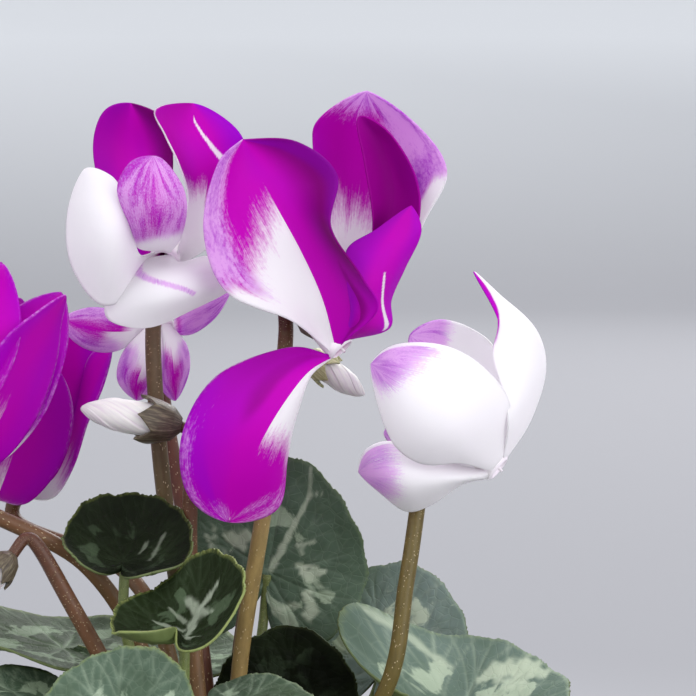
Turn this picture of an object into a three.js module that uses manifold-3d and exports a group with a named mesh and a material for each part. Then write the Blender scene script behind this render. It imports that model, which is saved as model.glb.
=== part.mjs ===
// Florist's cyclamen in a plain clay pot. Millimetres, +Z up; the pot stands at the origin on z = 0.
import * as THREE from "three";
import { mergeVertices } from "three/addons/utils/BufferGeometryUtils.js";
import Module from "manifold-3d";

const wasm = await Module();
wasm.setup();

// Pot
const potHeight = 112;
const potTopRadius = 66;
const potBaseRadius = 44;
const potWall = 5.5;
const potFloor = 6;
const rimHeight = 18;
const rimStep = 3.5;
const drainRadius = 4.5;
const drainCircle = 24;
const fitGap = 0.35;

// Potting soil and tuber
const soilTop = 98;
const tuberRadius = 34;
const tuberMiddle = 93;
const tuberHalfHeight = 20;
const rootDepth = 104;
const crownTop = 118;

// Plant
const petalThickness = 0.7;
const bladeThickness = 0.7;
const flowerStemRadius = 2.1;
const petioleRadius = 1.5;
const mouthRadius = 4;
const footRadius = 3.3;
const footHalfAngle = 30;
const tubeLength = 12.4;
const calyxDepth = 16;

const colors = {
  clay: 0xb5694a,
  soil: 0x3a2a20,
  tuber: 0x6b5240,
  leaf: 0x5a7060,
  stem: 0x8f7049,
  petal: 0xb300ae,
  pale: 0xf2eaf4,
};

const vec = (p) => new THREE.Vector3(p[0], p[1], p[2]);
const radians = THREE.MathUtils.degToRad;

// A manifold-3d solid of a closed geometry, and a geometry of a solid
function solidOf(geometry) {
  geometry.deleteAttribute("normal");
  geometry.deleteAttribute("uv");
  const merged = mergeVertices(geometry, 1e-4);
  return new wasm.Manifold(
    new wasm.Mesh({
      numProp: 3,
      vertProperties: merged.attributes.position.array,
      triVerts: new Uint32Array(merged.index.array),
    }),
  );
}

function geometryOf(solid) {
  const mesh = solid.getMesh();
  const geometry = new THREE.BufferGeometry();
  geometry.setAttribute("position", new THREE.BufferAttribute(mesh.vertProperties, 3));
  geometry.setIndex(new THREE.BufferAttribute(mesh.triVerts, 1));
  geometry.computeVertexNormals();
  return geometry;
}

// A thin closed sheet about a middle surface, split into triangles alike on both faces
function sheet(points, faces, thickness) {
  const middle = new THREE.BufferGeometry().setFromPoints(points);
  middle.setIndex(faces.flat());
  middle.computeVertexNormals();
  const normals = middle.getAttribute("normal");
  const normal = new THREE.Vector3();
  const front = [];
  const back = [];
  points.forEach((point, i) => {
    normal.fromBufferAttribute(normals, i).multiplyScalar(thickness / 2);
    front.push(point.clone().add(normal));
    back.push(point.clone().sub(normal));
  });
  const count = points.length;
  const directed = new Set();
  for (const [a, b, c] of faces) {
    directed.add(`${a},${b}`).add(`${b},${c}`).add(`${c},${a}`);
  }
  const index = [];
  for (const [a, b, c] of faces) {
    index.push(a, b, c, a + count, c + count, b + count);
    for (const [p, q] of [[a, b], [b, c], [c, a]]) {
      if (directed.has(`${q},${p}`)) continue;
      index.push(q, p, p + count, q, p + count, q + count);
    }
  }
  const geometry = new THREE.BufferGeometry().setFromPoints([...front, ...back]);
  geometry.setIndex(index);
  return solidOf(geometry);
}

// A closed body skinned over rings of points, each ring counterclockwise seen from the far end
function skin(rings) {
  const sides = rings[0].length;
  const points = rings.flat();
  const center = (ring) => ring.reduce((sum, p) => sum.add(p), new THREE.Vector3()).divideScalar(sides);
  const bottom = points.push(center(rings[0])) - 1;
  const top = points.push(center(rings.at(-1))) - 1;
  const index = [];
  for (let j = 0; j < sides; j++) {
    const next = (j + 1) % sides;
    index.push(bottom, next, j);
    const last = (rings.length - 1) * sides;
    index.push(top, last + j, last + next);
    for (let i = 0; i < last; i += sides) {
      index.push(i + j, i + next, i + next + sides, i + j, i + next + sides, i + j + sides);
    }
  }
  const geometry = new THREE.BufferGeometry().setFromPoints(points);
  geometry.setIndex(index);
  return solidOf(geometry);
}

// A tube of changing radius along points joined by a smooth curve
function taperedTube(points, radii, sides, count) {
  const curve = new THREE.CatmullRomCurve3(points, false, "catmullrom");
  const sections = [];
  const side = new THREE.Vector3(1, 0, 0);
  for (let i = 0; i <= count; i++) {
    const t = i / count;
    const center = curve.getPoint(t);
    const tangent = curve.getTangent(t);
    side.addScaledVector(tangent, -side.dot(tangent)).normalize();
    const up = new THREE.Vector3().crossVectors(tangent, side);
    const along = t * (radii.length - 1);
    const step = Math.min(Math.floor(along), radii.length - 2);
    const radius = THREE.MathUtils.lerp(radii[step], radii[step + 1], along - step);
    const ring = [];
    for (let j = 0; j < sides; j++) {
      const angle = (j / sides) * Math.PI * 2;
      ring.push(
        center.clone()
          .addScaledVector(side, Math.cos(angle) * radius)
          .addScaledVector(up, Math.sin(angle) * radius),
      );
    }
    sections.push(ring);
  }
  return skin(sections);
}

// A closed body of rings round an axis, each with its own height, radius, five-fold lobes, notches and twist
function lobedBody(origin, axis, rings, sides) {
  const turn = new THREE.Quaternion().setFromUnitVectors(new THREE.Vector3(0, 0, 1), axis);
  const sections = rings.map((ring) => {
    const section = [];
    for (let j = 0; j < sides; j++) {
      const angle = (j / sides) * Math.PI * 2;
      const lobe = Math.cos(5 * angle);
      const radius = ring.radius * (1 + (ring.lobe ?? 0) * lobe);
      const turned = angle + (ring.twist ?? 0);
      section.push(
        new THREE.Vector3(
          Math.cos(turned) * radius,
          Math.sin(turned) * radius,
          ring.height + (ring.notch ?? 0) * lobe,
        ).applyQuaternion(turn).add(origin),
      );
    }
    return section;
  });
  return skin(sections);
}

// Blooms. Each petal is set by its left margin, midline and right margin, from near the mouth to the tip.
// The mouth is the rim of the flower's tube, and the axis points out of it.
const blooms = {
  bloom_center: {
    rows: 6,
    mouth: [31.5, -15, 262.5],
    axis: [0.66, -0.25, -0.71],
    stem: [
      [4, -2, 150], [5.5, -2, 180], [11.5, -5, 218], [16, -6.5, 249], [17.5, -5.5, 265], [17.2, -5.5, 273],
      [18.4, -7.5, 277.3],
    ],
    slot: { ring: 3.4, angle: -60 },
    petals: {
      upper_left: {
        left: [[19.5, -24, 270], [3.5, -28, 277.5], [-2, -27, 292.5], [1, -20, 308]],
        mid: [[27, -19, 275], [21.5, -17, 287], [14.5, -14, 299.5], [10, -12, 308]],
        right: [[40.5, -29, 273], [36.5, -32, 281.5], [29, -31, 293.5], [30.5, -24, 306], [20.5, -16, 314]],
        tip: [7, -13, 314.5],
      },
      lower_left: {
        left: [[18, -21, 263], [0.5, -23, 256], [-8, -22, 241], [-6.5, -20, 226]],
        mid: [[22.5, -26, 256.5], [14.5, -30, 245.5], [9, -28, 234]],
        right: [[22.5, -22, 256.5], [19.8, -20, 246.5], [18, -19, 235], [15.5, -19, 222.5]],
        tip: [3.5, -21, 219.5],
      },
      back: {
        left: [[29.5, -6, 277.5], [26.5, -2, 295], [24.5, -2, 311.5], [26, -4, 319.5]],
        mid: [[34.5, -2, 281.5], [37, 3, 299], [39, 2, 314]],
        right: [[44.5, -5, 276.5], [52.5, -5, 293.5], [58, -9, 306], [51.5, -7, 317]],
        tip: [38, -6, 326.5],
      },
      far_wall: {
        left: [[35.5, -9, 274], [39.5, -9, 291.5], [37.5, -9, 308], [35.5, -9, 318.5]],
        mid: [[39.5, -4, 281.5], [45, -3, 299], [42, -5, 313]],
        right: [[43.5, -9, 276.5], [50.5, -10, 292], [50.5, -11, 304], [44.5, -10, 315]],
        tip: [38, -9, 320],
      },
      near_wall: {
        left: [[34, -23, 272], [33, -24, 279.5], [33, -21, 287.5], [40, -16, 292]],
        mid: [[37.5, -23, 269.5], [39.5, -23, 276.5], [42.5, -20, 284.5], [46, -15, 291.5]],
        right: [[43.5, -15, 267.5], [44, -13, 274.5], [47.5, -12, 282.5], [51.5, -12, 291.5]],
        tip: [49, -12, 298],
      },
    },
  },
  bloom_right: {
    rows: 6,
    mouth: [71, -12, 232],
    axis: [0.76, -0.25, -0.6],
    stem: [
      [25, -9, 147], [43, -14, 176], [48, -10, 202], [51, -4, 221], [52.4, -3, 234], [53.4, -3.4, 242],
      [56, -6, 244.6],
    ],
    slot: { ring: 9, angle: -30 },
    petals: {
      front: {
        left: [[73.5, -20, 248.5], [66.5, -23, 258.5], [56.5, -25, 264], [45, -24, 264]],
        mid: [[62, -30, 243.5], [53.5, -33, 249.5], [45.5, -30, 254]],
        right: [[61, -22, 234.5], [52, -24, 234.5], [45, -24, 239], [41, -23, 248.5]],
        tip: [39, -21, 259],
      },
      lower: {
        left: [[61.5, -13, 232.5], [52.5, -13, 234.5], [44.5, -12, 238.5], [38, -11, 236.5]],
        mid: [[60, -21, 230.5], [51, -22, 230], [43, -19, 230.5]],
        right: [[62, -13, 228], [54.5, -13, 223], [48, -12, 221], [41, -12, 226]],
        tip: [36, -9, 230.5],
      },
      right: {
        left: [[73, -21, 244], [72, -19, 251], [69.5, -14, 260.5], [71, -9, 269]],
        mid: [[77, -14, 245], [79, -12, 256], [76.5, -9, 267], [71, -6, 274.5]],
        right: [[79.5, -5, 243], [83.5, -2, 255.5], [81, -3, 266], [72, -4, 274.5]],
        tip: [65, -5, 281],
      },
      back: {
        left: [[73.5, 4, 246], [71.5, 6, 259.5], [65.5, 3, 265.5], [56.5, -2, 268.5]],
        mid: [[66, 8, 247], [61, 9, 256], [55, 3, 261.5]],
        right: [[60, 4, 241], [54.5, 4, 248.5], [50, -2, 257]],
        tip: [49, -6, 265],
      },
      low_back: {
        left: [[61.5, 5, 239.5], [53, 5, 242.5], [46, 0, 242.5]],
        mid: [[61, 7, 234], [52.5, 6, 236.5], [46.5, 1, 238.5]],
        right: [[61.5, 4, 229.5], [53, 4, 231], [46.5, -1, 234.5]],
        tip: [42.5, -3, 239.5],
      },
    },
  },
  bloom_left: {
    rows: 6,
    mouth: [-13.5, -4, 283.5],
    axis: [-0.15, -0.88, -0.45],
    stem: [
      [-7, 1, 170], [-14, 4, 221.5], [-16.5, 6, 250], [-17, 9, 268], [-15, 13, 282], [-12.5, 15.2, 290],
      [-11.4, 13, 293],
    ],
    slot: { ring: 3.4, angle: 180 },
    petals: {
      right_top: {
        left: [[-8.5, -5, 292], [-7, -6, 300], [-9.5, -6, 308.5], [-13, -4, 315.5], [-15.5, -2, 322]],
        mid: [[-5, 0, 294], [-2.5, -1, 304], [-3, -1, 313]],
        right: [[-1, 8, 288], [3.5, 8, 298.5], [6.5, 5, 307.5], [6.5, 2, 314.5], [1.5, 0, 320]],
        tip: [-6, -1, 323.5],
      },
      left_top: {
        left: [[-24, -1, 290], [-30, 4, 301.5], [-32, 6, 313], [-29, 5, 321.5]],
        mid: [[-18.5, -2, 292], [-20, 5, 300], [-20.5, 8, 311.5]],
        right: [[-15, -2, 292.5], [-12.5, 3, 300], [-11.5, 4, 309], [-13, 3, 319]],
        tip: [-22, 4, 323.5],
      },
      small: {
        left: [[-19, -18, 288], [-20, -27, 293.5], [-23, -28, 302.5], [-20, -25, 309]],
        mid: [[-14.5, -25, 290], [-13.5, -33, 295.5], [-13.5, -34, 302.5]],
        right: [[-8.5, -17, 290], [-6.5, -25, 296.5], [-7, -27, 302.5], [-11, -25, 308.5]],
        tip: [-14.5, -25, 310.5],
      },
      left: {
        left: [[-18.5, -18, 286], [-20, -26, 293.5], [-22, -24, 301], [-25.5, -18, 305.5]],
        mid: [[-21, -24, 284], [-25.5, -30, 290], [-29.5, -26, 298]],
        right: [[-21, -16, 276], [-28.5, -20, 274], [-35.5, -18, 284], [-36.5, -14, 296.5]],
        tip: [-32.5, -12, 307],
      },
      front: {
        left: [[-20, -10, 283.5], [-26, -15, 277], [-26.5, -17, 270]],
        mid: [[-11.5, -20, 282], [-11, -24, 276]],
        right: [[-2.5, -9, 285], [4, -11, 283.5], [4, -12, 277.5], [-5, -15, 272.5]],
        tip: [-16.5, -19, 268],
      },
    },
  },
  bloom_behind: {
    mouth: [-17, 30, 264],
    axis: [0.1, -0.5, -0.86],
    stem: [
      [-3, 14, 160], [-9, 26, 205], [-16, 38, 240], [-19, 44, 262], [-19.3, 46.5, 274], [-19, 46, 282],
      [-18.8, 42.5, 284.5],
    ],
    slot: { ring: 9, angle: 80 },
    petals: {
      right_up: {
        left: [[-10, 26, 270], [-3, 24, 272]],
        mid: [[-9.5, 24, 267], [-3, 22, 270]],
        right: [[-8.5, 27, 262.5], [-2, 25, 267]],
        tip: [2, 24, 273.5],
      },
      hang_right: {
        left: [[-9.5, 26, 259.5], [-9, 26, 252.5]],
        mid: [[-13, 22, 257], [-12.5, 22, 251]],
        right: [[-17, 25, 256], [-16.5, 25, 249]],
        tip: [-12.5, 26, 245],
      },
      hang_left: {
        left: [[-15.5, 22, 255.5], [-17.5, 22, 248.5]],
        mid: [[-20, 18, 256.5], [-22, 18, 250.5]],
        right: [[-26, 24, 258], [-27.5, 24, 250.5]],
        tip: [-22.5, 22, 245.5],
      },
      left: {
        left: [[-27.5, 24, 258.5], [-34.5, 24, 258.5], [-40, 26, 261.5]],
        mid: [[-28.5, 22, 263.5], [-35, 22, 264.5]],
        right: [[-28, 26, 268.5], [-35.5, 26, 269.5]],
        tip: [-42.5, 28, 266.5],
      },
      back: {
        left: [[-28, 36, 272], [-35, 36, 281]],
        mid: [[-30, 42, 271], [-37, 44, 280]],
        right: [[-26, 48, 272], [-33, 50, 281]],
        tip: [-40, 43, 288],
      },
    },
  },
  bloom_far_left: {
    mouth: [-70, -12, 238],
    axis: [-0.45, -0.1, -0.89],
    stem: [[-13, -3, 150], [-18, -5, 180], [-34, -8, 207]],
    slot: { ring: 9, angle: 190 },
  },
  bloom_back_left: {
    mouth: [-62, 54, 222],
    axis: [-0.35, 0.4, -0.85],
    stem: [[-11, 8, 150], [-14, 13, 180], [-27, 25, 200]],
    slot: { ring: 9, angle: 150 },
  },
};

// The rule for an ordinary nodding bloom: five petals leave the mouth, turn back and stand up round the tube.
// Its stem rises close beside the mouth, in the widest gap between two petals, and hooks over into the calyx.
const petalReach = [8.5, 14, 15, 14, 14.5];
const petalRise = [-3, 3, 17, 31, 41];
const petalHalfWidth = [3.5, 9, 13, 12, 7];
const petalAngles = [46, 112, 180, 248, 314];
const petalTipReach = 16;
const petalTipRise = 48;
const pinwheelSweep = 2;
const hookReach = [11, 9.2, 7.4, 3.6];
const hookRise = [-9, 5, 16, 20.5];

function ringFrame(bloom) {
  return { mouth: vec(bloom.mouth), axis: vec(bloom.axis).normalize() };
}

// The side of a nodding bloom on which its stem stands
function stemSide(bloom) {
  const { mouth, axis } = ringFrame(bloom);
  const side = vec(bloom.stem.at(-1)).sub(mouth);
  return side.addScaledVector(axis, -side.dot(axis)).normalize();
}

function nodPetals(bloom) {
  const { mouth, axis } = ringFrame(bloom);
  const petals = {};
  petalAngles.forEach((angle, i) => {
    const out = stemSide(bloom).applyAxisAngle(axis, radians(angle));
    const across = new THREE.Vector3().crossVectors(axis, out);
    const place = (reach, rise, aside) =>
      mouth.clone()
        .addScaledVector(out, reach)
        .addScaledVector(axis, -rise)
        .addScaledVector(across, aside)
        .toArray();
    const row = (sign) =>
      petalReach.map((reach, k) =>
        place(reach + sign * pinwheelSweep * (k / 4), petalRise[k], sign * petalHalfWidth[k]));
    petals[`petal_${i}`] = {
      left: row(1),
      mid: row(0),
      right: row(-1),
      tip: place(petalTipReach, petalTipRise, 0),
    };
  });
  return petals;
}

function nodHook(bloom) {
  const { mouth, axis } = ringFrame(bloom);
  const side = stemSide(bloom);
  return hookReach.map((reach, k) =>
    mouth.clone().addScaledVector(side, reach).addScaledVector(axis, -hookRise[k]).toArray());
}

// The feet of the five petals share the mouth's ring evenly, each as near as it can be to its petal's midline
function petalCurves(bloom, nets) {
  const { mouth, axis } = ringFrame(bloom);
  const flat = (v) => v.addScaledVector(axis, -v.dot(axis)).normalize();
  const start = flat(new THREE.Vector3(0, 0, 1));
  const quarter = new THREE.Vector3().crossVectors(axis, start);
  const turned = nets.map((net) => {
    const out = flat(vec(net.mid[0]).sub(mouth));
    return { net, angle: Math.atan2(out.dot(quarter), out.dot(start)) };
  });
  turned.sort((a, b) => a.angle - b.angle);
  const fifth = (Math.PI * 2) / 5;
  const offset = turned.reduce((sum, { angle }, k) => sum + angle - k * fifth, 0) / 5;
  return turned.map(({ net }, k) => {
    const out = start.clone().applyAxisAngle(axis, offset + k * fifth);
    const around = new THREE.Vector3().crossVectors(axis, out);
    const hand = Math.sign(around.dot(vec(net.right[0]).sub(vec(net.left[0]))));
    const through = (degrees, list) => {
      const spoke = out.clone().applyAxisAngle(axis, radians(degrees) * hand);
      const foot = mouth.clone().addScaledVector(spoke, footRadius);
      return new THREE.CatmullRomCurve3([foot, ...list.map(vec), vec(net.tip)], false, "catmullrom");
    };
    return {
      left: through(-footHalfAngle, net.left),
      mid: through(0, net.mid),
      right: through(footHalfAngle, net.right),
    };
  });
}

function petalPoint(curves, u, v) {
  const left = curves.left.getPoint(u);
  const middle = curves.mid.getPoint(u);
  const right = curves.right.getPoint(u);
  const bulge = left.clone().add(right).multiplyScalar(0.5).sub(middle);
  return middle.addScaledVector(right.sub(left), v / 2).addScaledVector(bulge, v * v);
}

function petal(curves, rows) {
  const columns = 4;
  const points = [];
  for (let i = 0; i < rows; i++) {
    for (let j = 0; j <= columns; j++) {
      points.push(petalPoint(curves, i / rows, (j / columns) * 2 - 1));
    }
  }
  points.push(curves.mid.getPoint(1));
  const tip = points.length - 1;
  const faces = [];
  for (let i = 0; i < rows - 1; i++) {
    for (let j = 0; j < columns; j++) {
      const a = i * (columns + 1) + j;
      const b = a + columns + 1;
      if (j < columns / 2) faces.push([a, a + 1, b + 1], [a, b + 1, b]);
      else faces.push([a, a + 1, b], [a + 1, b + 1, b]);
    }
  }
  const last = (rows - 1) * (columns + 1);
  for (let j = 0; j < columns; j++) faces.push([last + j, last + j + 1, tip]);
  return sheet(points, faces, petalThickness);
}

function corolla(bloom) {
  const { mouth, axis } = ringFrame(bloom);
  const rings = [
    { height: -tubeLength, radius: 2 },
    { height: -tubeLength + 1.4, radius: 3.2 },
    { height: -7, radius: 3.6 },
    { height: 0, radius: mouthRadius },
    { height: 0.6, radius: mouthRadius - 1 },
    { height: -2, radius: 1.6 },
  ];
  let body = lobedBody(mouth, axis, rings, 10);
  const drawn = bloom.petals ? Object.values(bloom.petals) : nodPetals(bloom);
  for (const curves of petalCurves(bloom, Object.values(drawn))) {
    body = body.add(petal(curves, bloom.rows ?? 5));
  }
  return geometryOf(body);
}

// The calyx is a cup of five sepals on the end of the stem, clear of the tube that it holds
const calyxRings = [
  { height: 0, radius: 1.5 },
  { height: 1.8, radius: 3.4 },
  { height: 7.4, radius: 4.8, notch: 1.6 },
  { height: 7.2, radius: 4.1, notch: 1.5 },
  { height: 3.3, radius: 3.7 },
];

function calyx(origin, axis, scale) {
  const rings = calyxRings.map((ring) => ({
    height: ring.height * scale,
    radius: ring.radius * scale,
    notch: (ring.notch ?? 0) * scale,
  }));
  return lobedBody(origin, axis, rings, 10);
}

function slotPoint(slot, height) {
  const angle = radians(slot.angle);
  return new THREE.Vector3(Math.cos(angle) * slot.ring, Math.sin(angle) * slot.ring, height);
}

// A flower stem rises from its place in the tuber's crown and hooks over into its calyx
function flowerStem(slot, via, neck, axis, scale) {
  const end = neck.clone().addScaledVector(axis, 0.8);
  const points = [
    slotPoint(slot, rootDepth),
    slotPoint(slot, (rootDepth + crownTop) / 2),
    slotPoint(slot, crownTop),
    ...via.map(vec),
    end,
  ];
  const radii = [1, 1, 1, 1, 1, 0.98, 0.95, 0.85, 0.72, 0.68].map((k) => k * flowerStemRadius);
  return geometryOf(taperedTube(points, radii, 6, points.length).add(calyx(neck, axis, scale)));
}

// Buds: a twisted, pointed roll of petals held in a calyx
const buds = {
  bud_left: {
    neck: [-9, -6, 242],
    axis: [-0.97, -0.04, 0.17],
    stem: [[-3, -8, 150], [-6.5, -5, 190], [-7.2, -5, 215], [-6.2, -5.5, 232], [-5.4, -6, 239]],
    slot: { ring: 9, angle: 268 },
    scale: 1.28,
    length: 26,
  },
  bud_behind: {
    neck: [22, 28, 257],
    axis: [0.8, -0.05, -0.55],
    stem: [[4.5, 9, 148], [4.5, 18, 177], [9.2, 25.5, 206], [14, 28, 236], [17, 28, 251], [19.2, 28, 257]],
    slot: { ring: 3.4, angle: 60 },
    scale: 1,
    length: 19,
  },
  bud_low: {
    neck: [-49.5, -27.5, 212.5],
    axis: [-0.6, -0.35, -0.72],
    stem: [[-12, -17, 150], [-24, -22, 177], [-36, -24, 200], [-43, -25, 213], [-46.5, -25.5, 216]],
    slot: { ring: 9, angle: 228 },
    scale: 0.9,
    length: 20,
  },
};

function budPetals(bud) {
  const scale = bud.scale;
  const start = 3.9 * scale;
  const along = (share) => start + (bud.length - start) * share;
  const rings = [
    { height: start, radius: 2.2 * scale },
    { height: along(0.08), radius: 3.2 * scale, lobe: 0.03 },
    { height: along(0.35), radius: 3.3 * scale, lobe: 0.08, twist: 0.5 },
    { height: along(0.62), radius: 3.1 * scale, lobe: 0.1, twist: 1.1 },
    { height: along(0.85), radius: 1.9 * scale, lobe: 0.08, twist: 1.7 },
    { height: along(1), radius: 0.5 * scale, twist: 2 },
  ];
  return geometryOf(lobedBody(vec(bud.neck), vec(bud.axis).normalize(), rings, 10));
}

// Leaves: heart-shaped toothed blades. Each has the end of its stalk, the way its tip points, the way its
// upper face looks, its width, how much it is cupped, and lifts that raise a stretch of its edge.
const leaves = [
  {
    at: [11.5, 34, 198],
    tip: [0.2, 0, 0.98],
    face: [-0.1, -0.95, 0.2],
    width: 52,
    cup: 0.06,
    slot: { ring: 15.5, angle: 68 },
  },
  {
    at: [43, 32, 173],
    tip: [0.4, 0.1, 0.85],
    face: [-0.2, -0.85, 0.5],
    width: 46,
    cup: 0.08,
    slot: { ring: 23, angle: 34 },
  },
  {
    at: [61, 0, 163],
    tip: [0.93, -0.2, 0.3],
    face: [-0.15, -0.5, 0.85],
    width: 52,
    cup: 0.05,
    slot: { ring: 23, angle: 0 },
    lifts: [[-135, 33], [100, 20]],
  },
  {
    at: [17, 9, 165],
    tip: [0.1, 0.05, 0.95],
    face: [0, -0.95, 0.3],
    width: 38,
    cup: 0.1,
    slot: { ring: 15.5, angle: 30 },
  },
  {
    at: [-6.5, -38, 194],
    tip: [0.3, 0.85, 0.4],
    face: [-0.3, -0.45, 0.85],
    width: 34,
    cup: 0.34,
    slot: { ring: 15.5, angle: -112 },
    lifts: [[45, 6], [-150, 6]],
  },
  {
    at: [-23, -14, 208.5],
    tip: [0.2, 0.85, 0.4],
    face: [0.1, -0.4, 0.92],
    width: 32,
    cup: 0.38,
    slot: { ring: 15.5, angle: -140 },
  },
  {
    at: [-21, -66, 175],
    tip: [0.6, 0.1, 0.8],
    face: [-0.2, -0.95, 0.25],
    width: 38,
    cup: 0.1,
    slot: { ring: 23, angle: -98 },
  },
  {
    at: [4.5, -43.5, 176.5],
    tip: [0.7, -0.7, -0.05],
    face: [0.1, -0.3, 0.95],
    width: 38,
    cup: 0.1,
    slot: { ring: 15.5, angle: -60 },
  },
  {
    at: [42, -52, 169],
    tip: [0.6, -0.75, 0.05],
    face: [0.05, -0.15, 1],
    width: 50,
    cup: 0.1,
    slot: { ring: 23, angle: -49 },
  },
];

// The other leaves stand in tiers round the crown, every second one a step higher
const leafTiers = [
  {
    reach: 72,
    height: 142,
    width: 56,
    tilt: -16,
    ring: 23,
    angles: [14, 59, 104, 149, -170, -128, -78, -31],
  },
  {
    reach: 48,
    height: 171,
    width: 52,
    tilt: 6,
    ring: 15.5,
    angles: [112, 152, -168],
  },
];
const tierStep = 8;
const tierCup = 0.1;
const leafTeeth = 16;
const toothDepth = 0.03;
const edgeWave = 0.035;

leafTiers.forEach((tier) => {
  tier.angles.forEach((angle, i) => {
    const out = new THREE.Vector3(Math.cos(radians(angle)), Math.sin(radians(angle)), 0);
    const up = new THREE.Vector3(0, 0, 1);
    const tilt = radians(tier.tilt);
    const tip = out.clone().multiplyScalar(Math.cos(tilt)).addScaledVector(up, Math.sin(tilt));
    const face = up.clone().multiplyScalar(Math.cos(tilt)).addScaledVector(out, -Math.sin(tilt));
    const at = out.clone().multiplyScalar(tier.reach).setZ(tier.height + (i % 2) * tierStep);
    leaves.push({
      at: at.toArray(),
      tip: tip.toArray(),
      face: face.toArray(),
      width: tier.width,
      cup: tierCup,
      slot: { ring: tier.ring, angle },
    });
  });
});

function leafRadius(theta) {
  const sinus = Math.exp(-(((Math.PI - Math.abs(theta)) / 0.3) ** 2));
  const point = Math.exp(-((theta / 0.38) ** 2));
  return (0.51 + 0.05 * Math.cos(theta) + 0.05 * point) * (1 - 0.8 * sinus);
}

function bladePoint(leaf, frame, theta, share, tooth) {
  const radius = leafRadius(theta) * share * (1 + tooth);
  const cup = leaf.cup * (radius / 0.5) ** 2 * 0.5;
  const wave = edgeWave * Math.sin(4 * theta + leaf.slot.angle) * share ** 3;
  let rise = (cup + wave) * leaf.width;
  for (const [degrees, amount] of leaf.lifts ?? []) {
    const away = Math.atan2(Math.sin(theta - radians(degrees)), Math.cos(theta - radians(degrees)));
    rise += amount * Math.exp(-((away / 0.65) ** 2)) * share ** 2;
  }
  return frame.at.clone()
    .addScaledVector(frame.tip, Math.cos(theta) * radius * leaf.width)
    .addScaledVector(frame.side, Math.sin(theta) * radius * leaf.width)
    .addScaledVector(frame.face, rise);
}

function leafFrame(leaf) {
  const tip = vec(leaf.tip).normalize();
  const face = vec(leaf.face);
  face.addScaledVector(tip, -face.dot(tip)).normalize();
  return { at: vec(leaf.at), tip, face, side: new THREE.Vector3().crossVectors(tip, face) };
}

function blade(leaf, frame) {
  const points = [frame.at.clone()];
  const rings = [];
  const counts = [leafTeeth / 2, leafTeeth, leafTeeth * 2];
  counts.forEach((count, k) => {
    const share = [0.36, 0.7, 1][k];
    const ring = [];
    for (let i = 0; i < count; i++) {
      const theta = Math.PI - (i / count) * Math.PI * 2;
      const tooth = k === 2 ? (i % 2 ? toothDepth : -toothDepth) : 0;
      ring.push(points.length);
      points.push(bladePoint(leaf, frame, theta, share, tooth));
    }
    rings.push(ring);
  });
  const faces = [];
  rings[0].forEach((a, i) => faces.push([0, a, rings[0][(i + 1) % rings[0].length]]));
  for (let k = 0; k < 2; k++) {
    const inner = rings[k];
    const outer = rings[k + 1];
    inner.forEach((a, i) => {
      const b = inner[(i + 1) % inner.length];
      const c = outer[2 * i];
      const d = outer[2 * i + 1];
      const e = outer[(2 * i + 2) % outer.length];
      faces.push([a, c, d], [a, d, b], [b, d, e]);
    });
  }
  return sheet(points, faces, bladeThickness);
}

function leafBody(leaf) {
  const frame = leafFrame(leaf);
  const arrival = frame.face.clone().multiplyScalar(0.5).addScaledVector(frame.tip, 0.6);
  arrival.z += 0.6;
  arrival.normalize();
  const start = slotPoint(leaf.slot, crownTop - 4);
  const span = start.distanceTo(frame.at);
  const curve = new THREE.CubicBezierCurve3(
    start,
    start.clone().setZ(THREE.MathUtils.lerp(start.z, frame.at.z, 0.62)),
    frame.at.clone().addScaledVector(arrival, -span * 0.28),
    frame.at,
  );
  const points = [slotPoint(leaf.slot, rootDepth), ...curve.getPoints(5)];
  const radii = [petioleRadius, petioleRadius, petioleRadius * 0.85];
  return geometryOf(taperedTube(points, radii, 4, points.length - 1).add(blade(leaf, frame)));
}

// Pot, potting soil and tuber
function inwardAt(z) {
  const share = (z - potFloor) / (potHeight - potFloor);
  return potBaseRadius - potWall + share * (potTopRadius - potBaseRadius);
}

function lathe(profile, segments) {
  const points = profile.map(([x, y]) => new THREE.Vector2(x, y));
  return solidOf(new THREE.LatheGeometry(points, segments).rotateX(Math.PI / 2));
}

function upright(radius, bottom, top, x, y, sides) {
  const post = new THREE.CylinderGeometry(radius, radius, top - bottom, sides);
  return solidOf(post.rotateX(Math.PI / 2).translate(x, y, (top + bottom) / 2));
}

function pot() {
  const bandBottom = potHeight - rimHeight;
  const bodyTop = potTopRadius - rimStep;
  let body = lathe([
    [0, 0],
    [potBaseRadius - 1, 0],
    [potBaseRadius, 1],
    [bodyTop, bandBottom],
    [potTopRadius - 1, bandBottom],
    [potTopRadius, bandBottom + 1],
    [potTopRadius, potHeight - 1.5],
    [potTopRadius - 1.5, potHeight],
    [inwardAt(potHeight), potHeight],
    [inwardAt(potFloor), potFloor],
    [0, potFloor],
  ], 32);
  for (let i = 0; i < 3; i++) {
    const place = slotPoint({ ring: drainCircle, angle: 30 + i * 120 }, 0);
    body = body.subtract(upright(drainRadius, -1, potFloor + 1, place.x, place.y, 12));
  }
  return geometryOf(body);
}

function tuberProfile(grow) {
  const profile = [[0, tuberMiddle - tuberHalfHeight - grow]];
  for (const degrees of [-70, -48, -25, 0, 25, 45, 62]) {
    profile.push([
      Math.cos(radians(degrees)) * (tuberRadius + grow),
      tuberMiddle + Math.sin(radians(degrees)) * (tuberHalfHeight + grow),
    ]);
  }
  profile.push([0, tuberMiddle + tuberHalfHeight * 0.93 + grow]);
  return profile;
}

function soil() {
  const body = lathe([
    [0, potFloor + fitGap],
    [inwardAt(potFloor) - fitGap, potFloor + fitGap],
    [inwardAt(soilTop - 1.5) - fitGap, soilTop - 1.5],
    [inwardAt(soilTop) - 6, soilTop + 0.5],
    [tuberRadius + 4, soilTop],
    [0, soilTop],
  ], 32);
  return geometryOf(body.subtract(lathe(tuberProfile(fitGap), 16)));
}

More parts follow.
